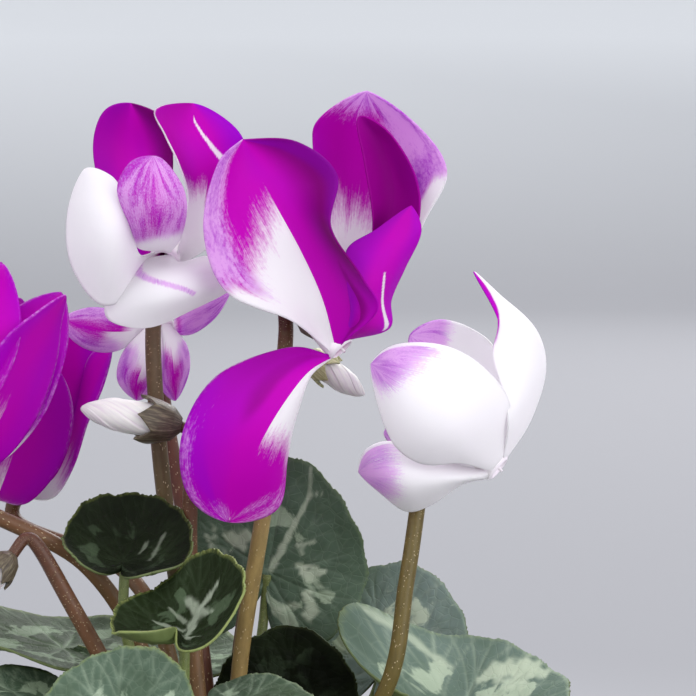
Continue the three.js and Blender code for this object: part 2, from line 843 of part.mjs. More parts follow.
function tuber() {
  const slots = [
    ...[...Object.values(blooms), ...Object.values(buds)].map(({ slot }) => [slot, flowerStemRadius]),
    ...leaves.map(({ slot }) => [slot, petioleRadius]),
  ];
  let body = lathe(tuberProfile(0), 16);
  for (const [slot, radius] of slots) {
    const place = slotPoint(slot, 0);
    body = body.subtract(upright(radius + 0.8, rootDepth - fitGap, crownTop, place.x, place.y, 5));
  }
  return geometryOf(body);
}

const finish = (color, roughness) => new THREE.MeshStandardMaterial({ color, roughness, metalness: 0 });
const leafFinish = finish(colors.leaf, 0.6);
const stemFinish = finish(colors.stem, 0.55);
const petalFinish = finish(colors.petal, 0.5);
const paleFinish = finish(colors.pale, 0.5);

const cyclamen = new THREE.Group();
function place(name, geometry, material) {
  const mesh = new THREE.Mesh(geometry, material);
  mesh.name = name;
  cyclamen.add(mesh);
}

place("pot", pot(), finish(colors.clay, 0.9));
place("potting_soil", soil(), finish(colors.soil, 1));
place("tuber", tuber(), finish(colors.tuber, 0.9));
leaves.forEach((leaf, i) => place(`leaf_${String(i + 1).padStart(2, "0")}`, leafBody(leaf), leafFinish));
for (const [name, bloom] of Object.entries(blooms)) {
  const { mouth, axis } = ringFrame(bloom);
  const neck = mouth.clone().addScaledVector(axis, -calyxDepth);
  place(`${name}_petals`, corolla(bloom), name === "bloom_right" ? paleFinish : petalFinish);
  const via = bloom.petals ? bloom.stem : [...bloom.stem, ...nodHook(bloom)];
  place(`${name}_stem`, flowerStem(bloom.slot, via, neck, axis, 1), stemFinish);
}
for (const [name, bud] of Object.entries(buds)) {
  place(`${name}_petals`, budPetals(bud), paleFinish);
  const axis = vec(bud.axis).normalize();
  place(`${name}_stem`, flowerStem(bud.slot, bud.stem, vec(bud.neck), axis, bud.scale), stemFinish);
}

export default cyclamen;
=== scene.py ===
import math
import random

import bpy
import numpy as np
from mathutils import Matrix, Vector, noise


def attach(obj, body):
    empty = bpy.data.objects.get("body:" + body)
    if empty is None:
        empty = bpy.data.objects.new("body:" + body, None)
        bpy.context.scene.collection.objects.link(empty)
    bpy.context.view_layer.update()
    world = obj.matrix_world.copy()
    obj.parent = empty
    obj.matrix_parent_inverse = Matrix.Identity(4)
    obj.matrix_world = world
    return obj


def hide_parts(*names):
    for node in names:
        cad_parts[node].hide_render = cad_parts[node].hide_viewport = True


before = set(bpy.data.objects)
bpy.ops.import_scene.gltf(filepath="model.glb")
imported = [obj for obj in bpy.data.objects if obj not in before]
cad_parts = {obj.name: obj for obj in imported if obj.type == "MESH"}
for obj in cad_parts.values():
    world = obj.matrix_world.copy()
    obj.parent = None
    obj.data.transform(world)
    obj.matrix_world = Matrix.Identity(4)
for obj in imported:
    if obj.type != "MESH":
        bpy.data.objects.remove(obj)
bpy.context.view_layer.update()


# small helpers


def fromHex(code):
    # an sRGB hex colour as Blender's linear colour
    parts = [int(code[i:i + 2], 16) / 255 for i in (1, 3, 5)]
    return [p / 12.92 if p < 0.04045 else ((p + 0.055) / 1.055) ** 2.4 for p in parts] + [1.0]


# the setting that the word after a node's kind gives
mainSetting = {
    "Math": "operation", "VectorMath": "operation", "MapRange": "interpolation_type", "Mix": "data_type",
    "TexVoronoi": "feature", "VertexColor": "layer_name"}
mixedColor = 2       # a mix node's colour is its third output


def addNode(tree, made, name, kind, inputs, settings=None):
    # adds one node; an input is a value, a hex colour, or an earlier node by name, with its output after a point
    kind, _, word = kind.partition(" ")
    node = tree.nodes.new("ShaderNode" + kind)
    if word:
        setattr(node, mainSetting[kind], word)
    for key, value in (settings or {}).items():
        if key == "stops":
            ramp = node.color_ramp.elements
            while len(ramp) < len(value):
                ramp.new(0.5)
            for element, (position, color) in zip(ramp, value):
                element.position = position
                element.color = fromHex(color)
        else:
            setattr(node, key, value)
    for key, value in inputs.items():
        if isinstance(value, str) and value[0] != "#":
            source, _, output = value.partition(".")
            source = made[source]
            plain = mixedColor if source.bl_idname == "ShaderNodeMix" else 0
            tree.links.new(source.outputs[output or plain], node.inputs[key])
        else:
            node.inputs[key].default_value = fromHex(value) if isinstance(value, str) else value
    made[name] = node


def makeMaterial(name, rows):
    # a material from rows of a node's name, kind, inputs and settings; the last row is its surface
    material = bpy.data.materials.new(name)
    material.use_nodes = True
    tree = material.node_tree
    tree.nodes.clear()
    made = {}
    for row in (*rows, ("output", "OutputMaterial", {0: rows[-1][0]})):
        addNode(tree, made, *row)
    return material


def readAll(items, attribute, each=1, kind=float):
    found = np.empty(len(items) * each, kind)
    items.foreach_get(attribute, found)
    return found


def coat(piece, *materials):
    for material in materials:
        piece.data.materials.append(material)


def pickOnly(*pieces):
    bpy.ops.object.select_all(action="DESELECT")
    for piece in pieces:
        piece.select_set(True)
    bpy.context.view_layer.objects.active = pieces[0]


def layGrid(name, across, along, place):
    # a grid primitive laid on a form: place gives millimetres for x and y shares from 0 to 1
    bpy.ops.object.select_all(action="DESELECT")
    bpy.ops.mesh.primitive_grid_add(x_subdivisions=across, y_subdivisions=along, size=1)
    piece = bpy.context.object
    piece.name = piece.data.name = name
    flat = readAll(piece.data.vertices, "co", 3).reshape(-1, 3) + 0.5
    points = place(flat[:, 0], flat[:, 1])
    piece.data.vertices.foreach_set("co", (points / 1000).ravel())
    piece.data.update()
    return piece, flat[:, :2]


def inEditMode(piece, *steps):
    pickOnly(piece)
    bpy.ops.object.mode_set(mode="EDIT")
    bpy.ops.mesh.select_all(action="SELECT")
    for step, options in steps:
        step(**options)
    bpy.ops.object.mode_set(mode="OBJECT")
    return piece


def weld(piece, gap=0.01):
    # closes a grid's seam and poles
    return inEditMode(piece, (bpy.ops.mesh.remove_doubles, {"threshold": gap / 1000}),
                      (bpy.ops.mesh.dissolve_degenerate, {"threshold": gap / 4000}))


def faceOut(piece):
    return inEditMode(piece, (bpy.ops.mesh.normals_make_consistent, {"inside": False}))


def thicken(piece, thickness, reverse, rim):
    # gives a blade its thickness, with slots of their own for its reverse and its rim
    pickOnly(piece)
    solid = piece.modifiers.new("blade", "SOLIDIFY")
    solid.thickness = thickness / 1000
    solid.offset = 0        # half to each side
    solid.material_offset = reverse
    solid.material_offset_rim = rim
    bpy.ops.object.modifier_apply(modifier=solid.name)
    return piece


def joinPieces(name, pieces):
    pickOnly(*pieces)
    if len(pieces) > 1:
        bpy.ops.object.join()
    piece = bpy.context.view_layer.objects.active
    piece.name = piece.data.name = name
    bpy.ops.object.shade_smooth()
    return piece


def fromPoints(name, points, faces):
    # an object from loose small shapes, with points in millimetres
    mesh = bpy.data.meshes.new(name)
    mesh.from_pydata((np.array(points) / 1000).tolist(), [], faces)
    mesh.uv_layers.new(name="UVMap")
    piece = bpy.data.objects.new(name, mesh)
    bpy.context.collection.objects.link(piece)
    return piece


def dress(piece, node):
    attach(piece, "root")
    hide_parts(node)


def unit(v):
    v = np.asarray(v, float)
    return v / np.linalg.norm(v)


def ease(start, end, x):
    # 0 before start, 1 after end, smooth between
    t = np.clip((np.asarray(x, float) - start) / (end - start), 0, 1)
    return t * t * (3 - 2 * t)


def onCircle(degrees, wide, high=None):
    # a point at an angle on a circle or an ellipse
    angle = math.radians(degrees)
    return math.cos(angle) * wide, math.sin(angle) * (wide if high is None else high)


def ringPoints(angle, radius, height):
    return np.stack([np.cos(angle) * radius, np.sin(angle) * radius, height], axis=1)


def uprightTo(axis):
    # the turn that takes +Z to an axis
    return np.array(Vector((0, 0, 1)).rotation_difference(Vector(axis)).to_matrix())


def onCurve(points, t, after=None):
    # a smooth curve through points, at shares t of its length; after is where it heads past its end
    p = np.asarray(points, float)
    p = np.vstack([2 * p[0] - p[1], p, 2 * p[-1] - p[-2] if after is None else after])
    along = np.clip(t, 0, 1) * (len(p) - 3)
    i = np.minimum(along.astype(int), len(p) - 4)
    w = (along - i)[:, None]
    a, b, c, d = p[i], p[i + 1], p[i + 2], p[i + 3]
    start, end = (c - a) / 2, (d - b) / 2
    return b + start * w + (3 * (c - b) - 2 * start - end) * w ** 2 + (2 * (b - c) + start + end) * w ** 3


def setPaint(piece, name, colors):
    # colours for the corners of faces, which let a petal's two halves differ sharply
    paint = piece.data.color_attributes.new(name, "FLOAT_COLOR", "CORNER")
    paint.data.foreach_set("color", colors.ravel())


def cornerShares(piece, shares):
    # each corner's shares, and its face's mean share across
    mesh = piece.data
    sizes = readAll(mesh.polygons, "loop_total", kind=int)
    own = shares[readAll(mesh.loops, "vertex_index", kind=int)]
    face = np.repeat(np.arange(len(sizes)), sizes)
    middle = np.bincount(face, own[:, 0]) / sizes
    return own, middle[face]


# the flower: five petals on a short tube, its stem hooked over into the calyx
flower = {
    "petalThickness": 0.45,
    "footRadius": 3.3,
    "footHalfAngle": 30,
    # the tube and the style: height over the mouth, and radius
    "tube": [(-12.4, 0), (-12.4, 2), (-11, 3.2), (-7, 3.6), (0, 4), (0.6, 3), (-2, 1.6), (-6, 1.1), (-6, 0)],
    "tubeGrid": (40, 40),
    "style": [(-5.5, 0), (-5.5, 0.45), (1.2, 0.35), (1.4, 0.3), (1.4, 0)],
    "styleGrid": (12, 8),
    "stemRadius": 2.1,
    "stemTaper": (1, 1, 1, 1, 1, 0.98, 0.95, 0.85, 0.72, 0.68),
    "stemGrid": (20, 150),
    "hairRows": (30, 148),       # the part of the stem with hairs, from the crown up to the calyx
    "nearCount": 3,
    "nearGrid": (46, 60),        # columns and rows of a petal in the three near blooms
    "farGrid": (28, 44),
    "calyxDepth": 16,            # from the mouth back to the calyx
    "calyxGrid": (80, 40),
    # height, radius and depth of the notches between the sepals
    "calyx": [(0, 0), (0, 1.5), (1.8, 3.4), (4.6, 4.3, 0.4), (7.4, 4.8, 1.6), (7.2, 4.1, 1.5), (4.6, 3.9, 0.3),
              (3.3, 3.7), (3.3, 0)],
    "sepals": 5,
    "neckDepth": 0.8,            # how far the stem reaches into the calyx
}

# each petal: its left margin, midline and right margin from near the mouth to the tip, and the tip, in mm
blooms = {
    "bloom_center": {
        "mouth": (31.5, -15, 262.5), "axis": (0.66, -0.25, -0.71), "slot": (3.4, -60),
        "stem": [(4, -2, 150), (5.5, -2, 180), (11.5, -5, 218), (16, -6.5, 249), (17.5, -5.5, 265),
                 (17.2, -5.5, 273), (18.4, -7.5, 277.3)],
        "petals": {
            "upperLeft": ([(19.5, -24, 270), (3.5, -28, 277.5), (-2, -27, 292.5), (1, -20, 308)],
                [(27, -19, 275), (21.5, -17, 287), (14.5, -14, 299.5), (10, -12, 308)],
                [(40.5, -29, 273), (36.5, -32, 281.5), (29, -31, 293.5), (30.5, -24, 306), (20.5, -16, 314)],
                (7, -13, 314.5)),
            "lowerLeft": ([(18, -21, 263), (0.5, -23, 256), (-8, -22, 241), (-6.5, -20, 226)],
                [(22.5, -26, 256.5), (14.5, -30, 245.5), (9, -28, 234)],
                [(22.5, -22, 256.5), (19.8, -20, 246.5), (18, -19, 235), (15.5, -19, 222.5)], (3.5, -21, 219.5)),
            "back": ([(29.5, -6, 277.5), (26.5, -2, 295), (24.5, -2, 311.5), (26, -4, 319.5)],
                [(34.5, -2, 281.5), (37, 3, 299), (39, 2, 314)],
                [(44.5, -5, 276.5), (52.5, -5, 293.5), (58, -9, 306), (51.5, -7, 317)], (38, -6, 326.5)),
            "farWall": ([(35.5, -9, 274), (39.5, -9, 291.5), (37.5, -9, 308), (35.5, -9, 318.5)],
                [(39.5, -4, 281.5), (45, -3, 299), (42, -5, 313)],
                [(43.5, -9, 276.5), (50.5, -10, 292), (50.5, -11, 304), (44.5, -10, 315)], (38, -9, 320)),
            "nearWall": ([(34, -23, 272), (33, -24, 279.5), (33, -21, 287.5), (40, -16, 292)],
                [(37.5, -23, 269.5), (39.5, -23, 276.5), (42.5, -20, 284.5), (46, -15, 291.5)],
                [(43.5, -15, 267.5), (44, -13, 274.5), (47.5, -12, 282.5), (51.5, -12, 291.5)], (49, -12, 298)),
        },
    },
    "bloom_right": {
        "mouth": (71, -12, 232), "axis": (0.76, -0.25, -0.6), "slot": (9, -30),
        "stem": [(25, -9, 147), (43, -14, 176), (48, -10, 202), (51, -4, 221), (52.4, -3, 234),
                 (53.4, -3.4, 242), (56, -6, 244.6)],
        "petals": {
            "front": ([(73.5, -20, 248.5), (66.5, -23, 258.5), (56.5, -25, 264), (45, -24, 264)],
                [(62, -30, 243.5), (53.5, -33, 249.5), (45.5, -30, 254)],
                [(61, -22, 234.5), (52, -24, 234.5), (45, -24, 239), (41, -23, 248.5)], (39, -21, 259)),
            "lower": ([(61.5, -13, 232.5), (52.5, -13, 234.5), (44.5, -12, 238.5), (38, -11, 236.5)],
                [(60, -21, 230.5), (51, -22, 230), (43, -19, 230.5)],
                [(62, -13, 228), (54.5, -13, 223), (48, -12, 221), (41, -12, 226)], (36, -9, 230.5)),
            "right": ([(73, -21, 244), (72, -19, 251), (69.5, -14, 260.5), (71, -9, 269)],
                [(77, -14, 245), (79, -12, 256), (76.5, -9, 267), (71, -6, 274.5)],
                [(79.5, -5, 243), (83.5, -2, 255.5), (81, -3, 266), (72, -4, 274.5)], (65, -5, 281)),
            "back": ([(73.5, 4, 246), (71.5, 6, 259.5), (65.5, 3, 265.5), (56.5, -2, 268.5)],
                [(66, 8, 247), (61, 9, 256), (55, 3, 261.5)], [(60, 4, 241), (54.5, 4, 248.5), (50, -2, 257)],
                (49, -6, 265)),
            "lowBack": ([(61.5, 5, 239.5), (53, 5, 242.5), (46, 0, 242.5)],
                [(61, 7, 234), (52.5, 6, 236.5), (46.5, 1, 238.5)],
                [(61.5, 4, 229.5), (53, 4, 231), (46.5, -1, 234.5)], (42.5, -3, 239.5)),
        },
    },
    "bloom_left": {
        "mouth": (-13.5, -4, 283.5), "axis": (-0.15, -0.88, -0.45), "slot": (3.4, 180),
        "stem": [(-7, 1, 170), (-14, 4, 221.5), (-16.5, 6, 250), (-17, 9, 268), (-15, 13, 282),
                 (-12.5, 15.2, 290), (-11.4, 13, 293)],
        "petals": {
            "rightTop": ([(-8.5, -5, 292), (-7, -6, 300), (-9.5, -6, 308.5), (-13, -4, 315.5), (-15.5, -2, 322)],
                [(-5, 0, 294), (-2.5, -1, 304), (-3, -1, 313)],
                [(-1, 8, 288), (3.5, 8, 298.5), (6.5, 5, 307.5), (6.5, 2, 314.5), (1.5, 0, 320)], (-6, -1, 323.5)),
            "leftTop": ([(-24, -1, 290), (-30, 4, 301.5), (-32, 6, 313), (-29, 5, 321.5)],
                [(-18.5, -2, 292), (-20, 5, 300), (-20.5, 8, 311.5)],
                [(-15, -2, 292.5), (-12.5, 3, 300), (-11.5, 4, 309), (-13, 3, 319)], (-22, 4, 323.5)),
            "small": ([(-19, -18, 288), (-20, -27, 293.5), (-23, -28, 302.5), (-20, -25, 309)],
                [(-14.5, -25, 290), (-13.5, -33, 295.5), (-13.5, -34, 302.5)],
                [(-8.5, -17, 290), (-6.5, -25, 296.5), (-7, -27, 302.5), (-11, -25, 308.5)], (-14.5, -25, 310.5)),
            "left": ([(-18.5, -18, 286), (-20, -26, 293.5), (-22, -24, 301), (-25.5, -18, 305.5)],
                [(-21, -24, 284), (-25.5, -30, 290), (-29.5, -26, 298)],
                [(-21, -16, 276), (-28.5, -20, 274), (-35.5, -18, 284), (-36.5, -14, 296.5)], (-32.5, -12, 307)),
            "front": ([(-20, -10, 283.5), (-26, -15, 277), (-26.5, -17, 270)],
                [(-11.5, -20, 282), (-11, -24, 276)],
                [(-2.5, -9, 285), (4, -11, 283.5), (4, -12, 277.5), (-5, -15, 272.5)], (-16.5, -19, 268)),
        },
    },
    "bloom_behind": {
        "mouth": (-17, 30, 264), "axis": (0.1, -0.5, -0.86), "slot": (9, 80),
        "stem": [(-3, 14, 160), (-9, 26, 205), (-16, 38, 240), (-19, 44, 262), (-19.3, 46.5, 274),
                 (-19, 46, 282), (-18.8, 42.5, 284.5)],
        "petals": {
            "rightUp": ([(-10, 26, 270), (-3, 24, 272)], [(-9.5, 24, 267), (-3, 22, 270)],
                [(-8.5, 27, 262.5), (-2, 25, 267)], (2, 24, 273.5)),
            "hangRight": ([(-9.5, 26, 259.5), (-9, 26, 252.5)], [(-13, 22, 257), (-12.5, 22, 251)],
                [(-17, 25, 256), (-16.5, 25, 249)], (-12.5, 26, 245)),
            "hangLeft": ([(-15.5, 22, 255.5), (-17.5, 22, 248.5)], [(-20, 18, 256.5), (-22, 18, 250.5)],
                [(-26, 24, 258), (-27.5, 24, 250.5)], (-22.5, 22, 245.5)),
            "left": ([(-27.5, 24, 258.5), (-34.5, 24, 258.5), (-40, 26, 261.5)],
                [(-28.5, 22, 263.5), (-35, 22, 264.5)], [(-28, 26, 268.5), (-35.5, 26, 269.5)], (-42.5, 28, 266.5)),
            "back": ([(-28, 36, 272), (-35, 36, 281)], [(-30, 42, 271), (-37, 44, 280)],
                [(-26, 48, 272), (-33, 50, 281)], (-40, 43, 288)),
        },
    },
    "bloom_far_left": {
        "mouth": (-70, -12, 238), "axis": (-0.45, -0.1, -0.89), "slot": (9, 190),
        "stem": [(-13, -3, 150), (-18, -5, 180), (-34, -8, 207)],
    },
    "bloom_back_left": {
        "mouth": (-62, 54, 222), "axis": (-0.35, 0.4, -0.85), "slot": (9, 150),
        "stem": [(-11, 8, 150), (-14, 13, 180), (-27, 25, 200)],
    },
}

# an ordinary nodding bloom, by rule
nodBloom = {
    "reach": (8.5, 14, 15, 14, 14.5),
    "rise": (-3, 3, 17, 31, 41),
    "halfWidth": (3.5, 9, 13, 12, 7),
    "angles": (46, 112, 180, 248, 314),
    "tipReach": 16,
    "tipRise": 48,
    "sweep": 2,
    "hookReach": (11, 9.2, 7.4, 3.6),
    "hookRise": (-9, 5, 16, 20.5),
}

# How a petal's side is coloured, with u its share of the length and v from -1 at the left margin to 1.
# white: where each half's white foot starts to fade and ends in u; slope: how much sooner it ends at a margin.
# rim: strength, width and start of each lilac margin. edge: the same for white margins, with their end too.
# tip: strength and start of the lilac tip; lean: how much later it starts to the right.
# dark: how much painted shade, in dark red, each half gets towards its margin, and darkSpan where in u. violet: how
# blue each half gets.
# lines: white, magenta, lilac, violet, or dark red painted shade along a fold, with strength, two (v, u) ends and half
# a width at the first.
# paintFade: over what share of the petal each of them fades
paintFade = {"tip": 0.32, "rim": 0.25, "edge": 0.1, "edgeEnd": 0.12, "dark": 0.15}
allWhite, noWhite = (2, 3), (-2, -1)
none = (0, 0.2, 0.3)
innerLook = {"white": ((0.25, 0.6), (0.08, 0.35)), "rim": ((0.5, 0.25, 0.3), (0.5, 0.25, 0.3)), "tip": (0.6, 0.8)}
outerLook = {"white": (allWhite, allWhite), "rim": (none, none), "tip": (0.75, 0.6)}
# the dark shares and the dark red lines in these looks are painted shade, on folds, shaded sides and the far walls of
# the open blooms
petalLooks = {
    "bloom_center": {
        "upperLeft": {"round": 0.2, "slope": 0.28, "white": ((0.46, 0.76), noWhite),
                      "rim": ((1.3, 0.52, 0.15), (0.0, 0.1, 0.5)), "edge": ((0.95, 0.22, 0.05, 0.42), none),
                      "tip": (0.35, 0.9), "dark": (0.0, 0.85), "darkSpan": (0.3, 0.98), "violet": (0.0, 0.2),
                      "lines": [("shadeCrimson", 0.6, (0.8, 0.1), (0.6, 0.34), 0.09),
                                ("violet", 1, (1.0, 0.66), (0.75, 0.93), 0.2)]},
        "lowerLeft": {"round": 1.0, "slope": -0.05, "white": (noWhite, (0.4, 0.74)),
                      "rim": ((0.6, 0.26, 0.4), (0.6, 0.24, 0.6)),
                      "edge": ((0.45, 0.04, 0.1, 0.5), (0.4, 0.16, 0.05, 0.6)),
                      "tip": (1.0, 0.84), "dark": (0.4, 0.4), "darkSpan": (0.05, 0.4), "violet": (0.3, 0.0),
                      "lines": [("white", 1, (-0.15, 0.99), (0.1, 0.99), 0.012),
                                ("shadeCrimson", 0.4, (-0.6, 0.2), (-0.4, 0.42), 0.2),
                                ("violet", 0.42, (-0.95, 0.5), (-0.7, 0.84), 0.2),
                                ("lilac", 0.62, (-0.75, 0.93), (-0.25, 0.97), 0.1),
                                ("lilac", 0.6, (0.9, 0.8), (0.5, 0.95), 0.16)]},
        "back": {"round": 0.6, "white": ((0.3, 0.62), (0.3, 0.62)),
                 "rim": ((0.2, 0.1, 0.4), (1.8, 1.15, 0.2)), "edge": (none, (1.0, 0.3, 0.05, 0.62)),
                 "tip": (1.2, 0.72), "dark": (0.15, 0.0), "violet": (0.1, 0.1)},
        # painted shade: the far wall is dark red all over, standing in for its inner face lying in shade
        "farWall": {"round": 0.9, "white": (noWhite, noWhite), "rim": (none, none), "tip": (0.0, 0.9),
                    "dark": (0.45, 0.4), "flat": True, "violet": (0, 0)},
        "nearWall": {"round": 0.4, "white": (noWhite, noWhite), "rim": (none, (0.2, 0.2, 0.5)), "tip": (0.1, 0.9),
                     "dark": (0.2, 0.0), "violet": (0.5, 0.3), "lines": [("white", 1, (0.88, 0.2), (0.1, 0.53), 0.04)]},
    },
    "bloom_right": {
        "front": {"round": 0.5, "outer": True, "tip": (0.95, 0.58), "lean": 0.16,
                  "edge": ((1, 0.08, 0, 1), (1, 0.05, 0, 1))},
        "lower": {"round": 0.5, "outer": True, "tip": (0.8, 0.46), "lean": 0.06,
                  "edge": ((1, 0.08, 0, 1), (1, 0.05, 0, 1))},
        "right": {"round": 0.6, "outer": True, "tip": (0.0, 0.98),
                  "lines": [("magenta", 1, (-1.0, 0.86), (-0.3, 1.0), 0.24)]},
        "back": {"round": 0.9, "outer": True, "tip": (1.3, 0.5), "lean": -0.1},
        "lowBack": {"round": 0.9, "outer": True, "tip": (1.0, 0.3)},
    },
    "bloom_left": {
        "rightTop": {"round": 0.9, "slope": 0.1, "white": ((0.3, 0.62), (0.25, 0.52)),
                     "rim": ((0.4, 0.08, 0.4), (0.2, 0.1, 0.3)), "tip": (0.1, 0.9), "dark": (0.3, 0.0),
                     "edge": ((0.8, 0.04, 0.2, 0.95), none), "violet": (0.1, 0.6),
                     "lines": [("white", 1, (0.5, 0.58), (-0.18, 0.9), 0.045)]},
        "leftTop": {"round": 0.9, "white": (noWhite, noWhite), "rim": ((0.1, 0.2, 0.3), (0.1, 0.2, 0.3)),
                    "tip": (0.1, 0.9), "dark": (0.3, 0.8)},
        "small": {"round": 1.0, "white": ((0.2, 0.42), (0.2, 0.42)), "rim": ((0.8, 3, 0.1), (0.8, 3, 0.1)),
                  "tip": (0.75, 0.6), "dark": (0, 0), "violet": (0.0, 0.0)},
        "left": {"round": 0.8, "outer": True, "tip": (0.2, 0.75)},
        "front": {"round": 1.0, "outer": True, "tip": (0.05, 0.9),
                  "lines": [("lilac", 0.78, (-1.0, 0.22), (0.43, 0.66), 0.07)]},
    },
    "bloom_behind": {
        "rightUp": {"round": 0.6, "white": ((0.0, 0.3), (0.0, 0.3)), "rim": ((1.3, 3, 0.1), (1.3, 3, 0.1)),
                    "tip": (1.1, 0.3)},
        "hangRight": {"white": ((0.2, 0.7), (0.1, 0.5)), "rim": ((1.0, 1.5, 0.1), (1.0, 1.5, 0.1)),
                      "tip": (0.5, 0.8)},
        "hangLeft": {"white": ((0.4, 0.8), (0.3, 0.6)), "rim": ((1.0, 1.5, 0.1), (1.0, 1.5, 0.1)),
                     "tip": (0.5, 0.8)},
        "left": {"rim": ((1.0, 1.5, 0.1), (1.0, 1.5, 0.1))},
    },
}


def ringFrame(bloom):
    return np.array(bloom["mouth"], float), unit(bloom["axis"])


def turnAbout(v, axis, degrees):
    angle = math.radians(degrees)
    return v * math.cos(angle) + np.cross(axis, v) * math.sin(angle) + axis * (v @ axis) * (1 - math.cos(angle))


def stemSide(bloom):
    mouth, axis = ringFrame(bloom)
    side = np.array(bloom["stem"][-1], float) - mouth
    return unit(side - axis * (side @ axis))


def nodPetals(bloom):
    mouth, axis = ringFrame(bloom)
    petals = {}
    for i, angle in enumerate(nodBloom["angles"]):
        out = turnAbout(stemSide(bloom), axis, angle)
        across = np.cross(axis, out)
        margins = [[
            mouth + out * (reach + sign * nodBloom["sweep"] * k / 4) - axis * rise + across * half * sign
            for k, (reach, rise, half) in enumerate(zip(nodBloom["reach"], nodBloom["rise"], nodBloom["halfWidth"]))
        ] for sign in (1, 0, -1)]
        petals[f"petal{i}"] = (*margins, mouth + out * nodBloom["tipReach"] - axis * nodBloom["tipRise"])
    return petals


def nodHook(bloom):
    mouth, axis = ringFrame(bloom)
    side = stemSide(bloom)
    return [mouth + side * reach - axis * rise
            for reach, rise in zip(nodBloom["hookReach"], nodBloom["hookRise"])]


def petalCurves(bloom, nets):
    # the petals' feet share the mouth's ring evenly
    mouth, axis = ringFrame(bloom)
    start = unit(np.array([0, 0, 1]) - axis * axis[2])
    quarter = np.cross(axis, start)
    turned = []
    for name, net in nets.items():
        out = np.array(net[1][0], float) - mouth
        turned.append((math.atan2(out @ quarter, out @ start), name))
    turned.sort()
    fifth = math.tau / 5
    offset = sum(angle - k * fifth for k, (angle, name) in enumerate(turned)) / 5
    curves = {}
    for k, (angle, name) in enumerate(turned):
        left, mid, right, tip = nets[name]
        out = turnAbout(start, axis, math.degrees(offset + k * fifth))
        hand = np.sign(np.cross(axis, out) @ (np.array(right[0]) - np.array(left[0])))
        curves[name] = []
        for margin, side in ((left, -1), (mid, 0), (right, 1)):
            foot = mouth + turnAbout(out, axis, side * flower["footHalfAngle"] * hand) * flower["footRadius"]
            curves[name].append([foot, *margin, tip])
    return curves


def lineShare(line, u, v):
    # 1 on a painted line and 0 off it, from its two ends in (v, u)
    strength, (v0, u0), (v1, u1), half = line[1:]
    along = ((v - v0) * (v1 - v0) + (u - u0) * (u1 - u0)) / ((v1 - v0) ** 2 + (u1 - u0) ** 2)
    t = np.clip(along, 0, 1)
    away = np.hypot(v - v0 - (v1 - v0) * t, u - u0 - (u1 - u0) * t)
    half = half * (1 - 0.5 * t)
    return strength * (1 - ease(half * 0.2, half * 1.5, away))


def paintSide(look, own, middle):
    # white, lilac, painted shade and violet shares for the corners of one side of a petal
    u = own[:, 1]
    v = own[:, 0] * 2 - 1
    onRight = (middle > 0.5).astype(int)
    foot = np.array(look["white"])[onRight]
    lowered = u + look.get("slope", 0) * abs(v)
    white = 1 - np.clip((lowered - foot[:, 0]) / (foot[:, 1] - foot[:, 0]), 0, 1)
    start = look["tip"][1] + look.get("lean", 0) * v
    lilac = look["tip"][0] * ease(0, 1, (u - start) / paintFade["tip"])
    for (amount, width, begin), side in zip(look["rim"], (-1, 1)):
        lilac = np.maximum(lilac, amount * ease(1 - width, 1, v * side) * ease(begin, begin + paintFade["rim"], u))
    fade, endFade = paintFade["edge"], paintFade["edgeEnd"]
    for (amount, width, begin, *finish), side in zip(look.get("edge", ()), (-1, 1)):
        if finish:
            edge = amount * ease(1 - width, 1 - width * 0.35, v * side) * ease(begin - fade, begin + fade, u)
            edge = edge * (1 - ease(finish[0] - endFade, finish[0] + endFade, u) * (finish[0] < 1))
            white = np.maximum(white, edge)
            lilac = lilac * (1 - edge)
    # painted shade: dark red towards the margins, where a petal curves away into shade
    shadeHalf = np.array(look.get("dark", (0, 0)))[onRight]
    begin, end = look.get("darkSpan", (0.2, 1.3))
    fade = paintFade["dark"]
    shaded = ease(0.15, 0.9, abs(v)) * ease(begin - fade, begin + fade, u) * (1 - ease(end - fade, end + fade, u))
    dark = shadeHalf * (1 if look.get("flat") else shaded)
    violet = np.array(look.get("violet", (0.3, 0.3)))[onRight] * ease(0.15, 0.95, abs(v))
    for line in look.get("lines", ()):
        share = lineShare(line, u, v)
        if line[0] == "lilac":
            lilac = np.maximum(lilac, share)
        # a dark red line is painted shade along a fold
        elif line[0] == "shadeCrimson":
            dark = np.maximum(dark, share)
        elif line[0] == "violet":
            violet = np.maximum(violet, share)
            dark = dark * (1 - share * 0.35)
        else:
            white = np.maximum(white * (1 - share), share * (line[0] == "white"))
            lilac = lilac * (1 - share)
    return np.stack([white, lilac, dark, violet], axis=1)


def makePetal(name, curves, looks, seed, grid):
    left, mid, right = [np.array(c, float) for c in curves]
    tip = left[-1]
    turn = looks.get("round", 0.7)       # how far the margins run round into each other at the tip
    afterLeft = (2 * tip - left[-2]) * (1 - turn) + right[-2] * turn
    afterRight = (2 * tip - right[-2]) * (1 - turn) + left[-2] * turn

    def place(x, y):
        v = (x * 2 - 1)[:, None]
        a, b, c = onCurve(left, y, afterLeft), onCurve(mid, y), onCurve(right, y, afterRight)
        return b + (c - a) * v / 2 + ((a + c) / 2 - b) * v ** 2

    piece, shares = layGrid(name, *grid, place)
    mesh = piece.data
    normals = readAll(mesh.polygons, "normal", 3).reshape(-1, 3)
    if (normals * readAll(mesh.polygons, "area")[:, None]).sum(0) @ np.array(looks.get("faces", (0, -1, 0))) < 0:
        mesh.flip_normals()
    outer = looks.get("outer", False)
    seen = {**(outerLook if outer else innerLook), **looks}
    hidden = innerLook if outer else outerLook
    own, middle = cornerShares(piece, shares)
    setPaint(piece, "seenPaint", paintSide(seen, own, middle))
    setPaint(piece, "backPaint", paintSide(hidden, own, middle))
    mesh.uv_layers[0].data.foreach_set("uv", (own + [seed * 2.0, 0]).ravel())
    return thicken(weld(piece), flower["petalThickness"], 1, 2)


